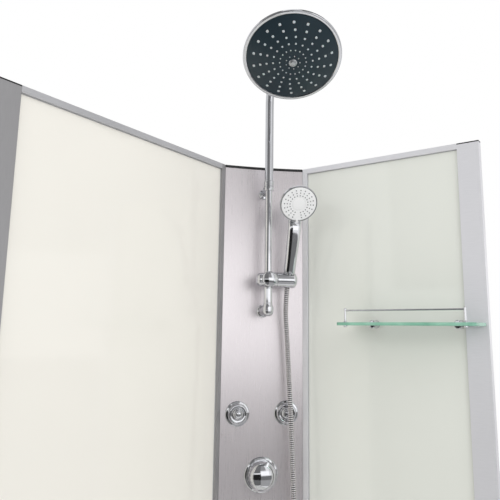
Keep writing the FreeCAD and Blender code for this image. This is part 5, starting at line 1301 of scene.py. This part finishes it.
# Each lamp is its place, what it points at, its size and its power.
studio = {
    "floor": 0.86,
    "worldLight": 0.9,
    "lamps": {
        "key_light": ((2.2, -0.4, 2.6), (-0.2, 0.3, 1.5), (1.9, 2.2), 17.0),
        "fill_light": ((-0.2, -2.6, 2.4), (-0.2, 0.3, 1.4), (1.6, 1.2), 10.0),
    },
}
floorMesh = bpy.data.meshes.new("floor")
floorMesh.from_pydata([(-6, -6, 0), (6, -6, 0), (6, 6, 0), (-6, 6, 0)], [], [(0, 1, 2, 3)])
floorColour = (studio["floor"], studio["floor"], studio["floor"], 1)
floorMesh.materials.append(newPaint("studio_floor", {"Base Color": floorColour, "Roughness": 0.7}))
addObject("floor", floorMesh)

world = bpy.data.worlds.new("studio")
scene.world = world
world.use_nodes = True
tree = world.node_tree
background = tree.nodes["Background"]
rays = tree.nodes.new("ShaderNodeLightPath")


# 1 where either of two ray tests holds
def eitherRay(first, second):
    node = tree.nodes.new("ShaderNodeMath")
    node.operation = "MAXIMUM"
    tree.links.new(first, node.inputs[0])
    tree.links.new(second, node.inputs[1])
    return node.outputs["Value"]


reflected = eitherRay(rays.outputs["Is Glossy Ray"], rays.outputs["Is Transmission Ray"])
seen = eitherRay(rays.outputs["Is Camera Ray"], reflected)
strength = addNode(tree, "ShaderNodeMapRange", {"To Min": studio["worldLight"], "To Max": 1.0})
tree.links.new(seen, strength.inputs["Value"])
tree.links.new(strength.outputs["Result"], background.inputs["Strength"])
background.inputs["Color"].default_value = (1, 1, 1, 1)


# Curved cards round the cabin, which only reflections see. They give polished metal the greys of a room.
# Each is from angle, to angle, lower edge, upper edge, brightness. Angle 0 is straight out of the column.
# Those on the ground start at a share of the radius.
cards = {
    "radius": 3.0,
    "centre": (-0.2, 0.3),
    "set": {
        "low_far_left": (-150, -78, 0.0, 1.3, 0.35),
        "low_left": (-78, -4, 0.0, 1.5, 0.02),
        "low_right": (-4, 62, 0.0, 1.02, 0.2),
        "low_far_right": (62, 150, 0.0, 1.3, 0.5),
        "window": (-4, 40, 1.25, 2.2, 1.35),
        "high_far_left": (-150, -62, 1.95, 6.0, 0.7),
        "high_left": (-62, -8, 1.85, 6.0, 0.2),
        "high_middle": (-8, 24, 2.5, 6.0, 0.36),
        "high_right": (48, 150, 2.1, 6.0, 0.6),
        "top": (-150, 150, 6.0, 16.0, 0.16),
        "ground_left": (-80, -4, 0.005, 0.005, 0.16, 0.3),
        "ground_right": (-4, 62, 0.005, 0.005, 0.42, 0.3),
    },
}


def addCard(name, start, end, low, high, grey, inner=1.0):
    mesh = bpy.data.meshes.new(name)
    steps = 12
    corners = []
    for k in range(steps + 1):
        angle = math.radians(start + (end - start) * k / steps)
        x, y = cards["radius"] * math.cos(angle), cards["radius"] * math.sin(angle)
        corners += [(x * inner, y * inner, low), (x, y, high)]
    mesh.from_pydata(corners, [], [(2 * k, 2 * k + 2, 2 * k + 3, 2 * k + 1) for k in range(steps)])
    card = addObject(name, mesh)
    card.matrix_world = placed(Vector((*cards["centre"], 0)), upward, outward)
    glow = {"Base Color": (0, 0, 0, 1), "Emission Color": (grey, grey, grey, 1), "Emission Strength": 1}
    mesh.materials.append(newPaint(name, {**glow, "Specular IOR Level": 0}))
    card.visible_camera = False
    card.visible_diffuse = False
    card.visible_transmission = False
    card.visible_shadow = False


for name, values in cards["set"].items():
    addCard(name, *values)


def addLamp(name, place, target, size, power):
    data = bpy.data.lights.new(name, "AREA")
    data.shape = "RECTANGLE"
    data.size, data.size_y = size
    data.energy = power
    lamp = addObject(name, data)
    way = (Vector(target) - Vector(place)).normalized()
    lamp.matrix_world = placed(Vector(place), -way, way.cross(upward))
    lamp.visible_glossy = False


for name, values in studio["lamps"].items():
    addLamp(name, *values)

scene.view_settings.view_transform = "Standard"
print("scene ready")
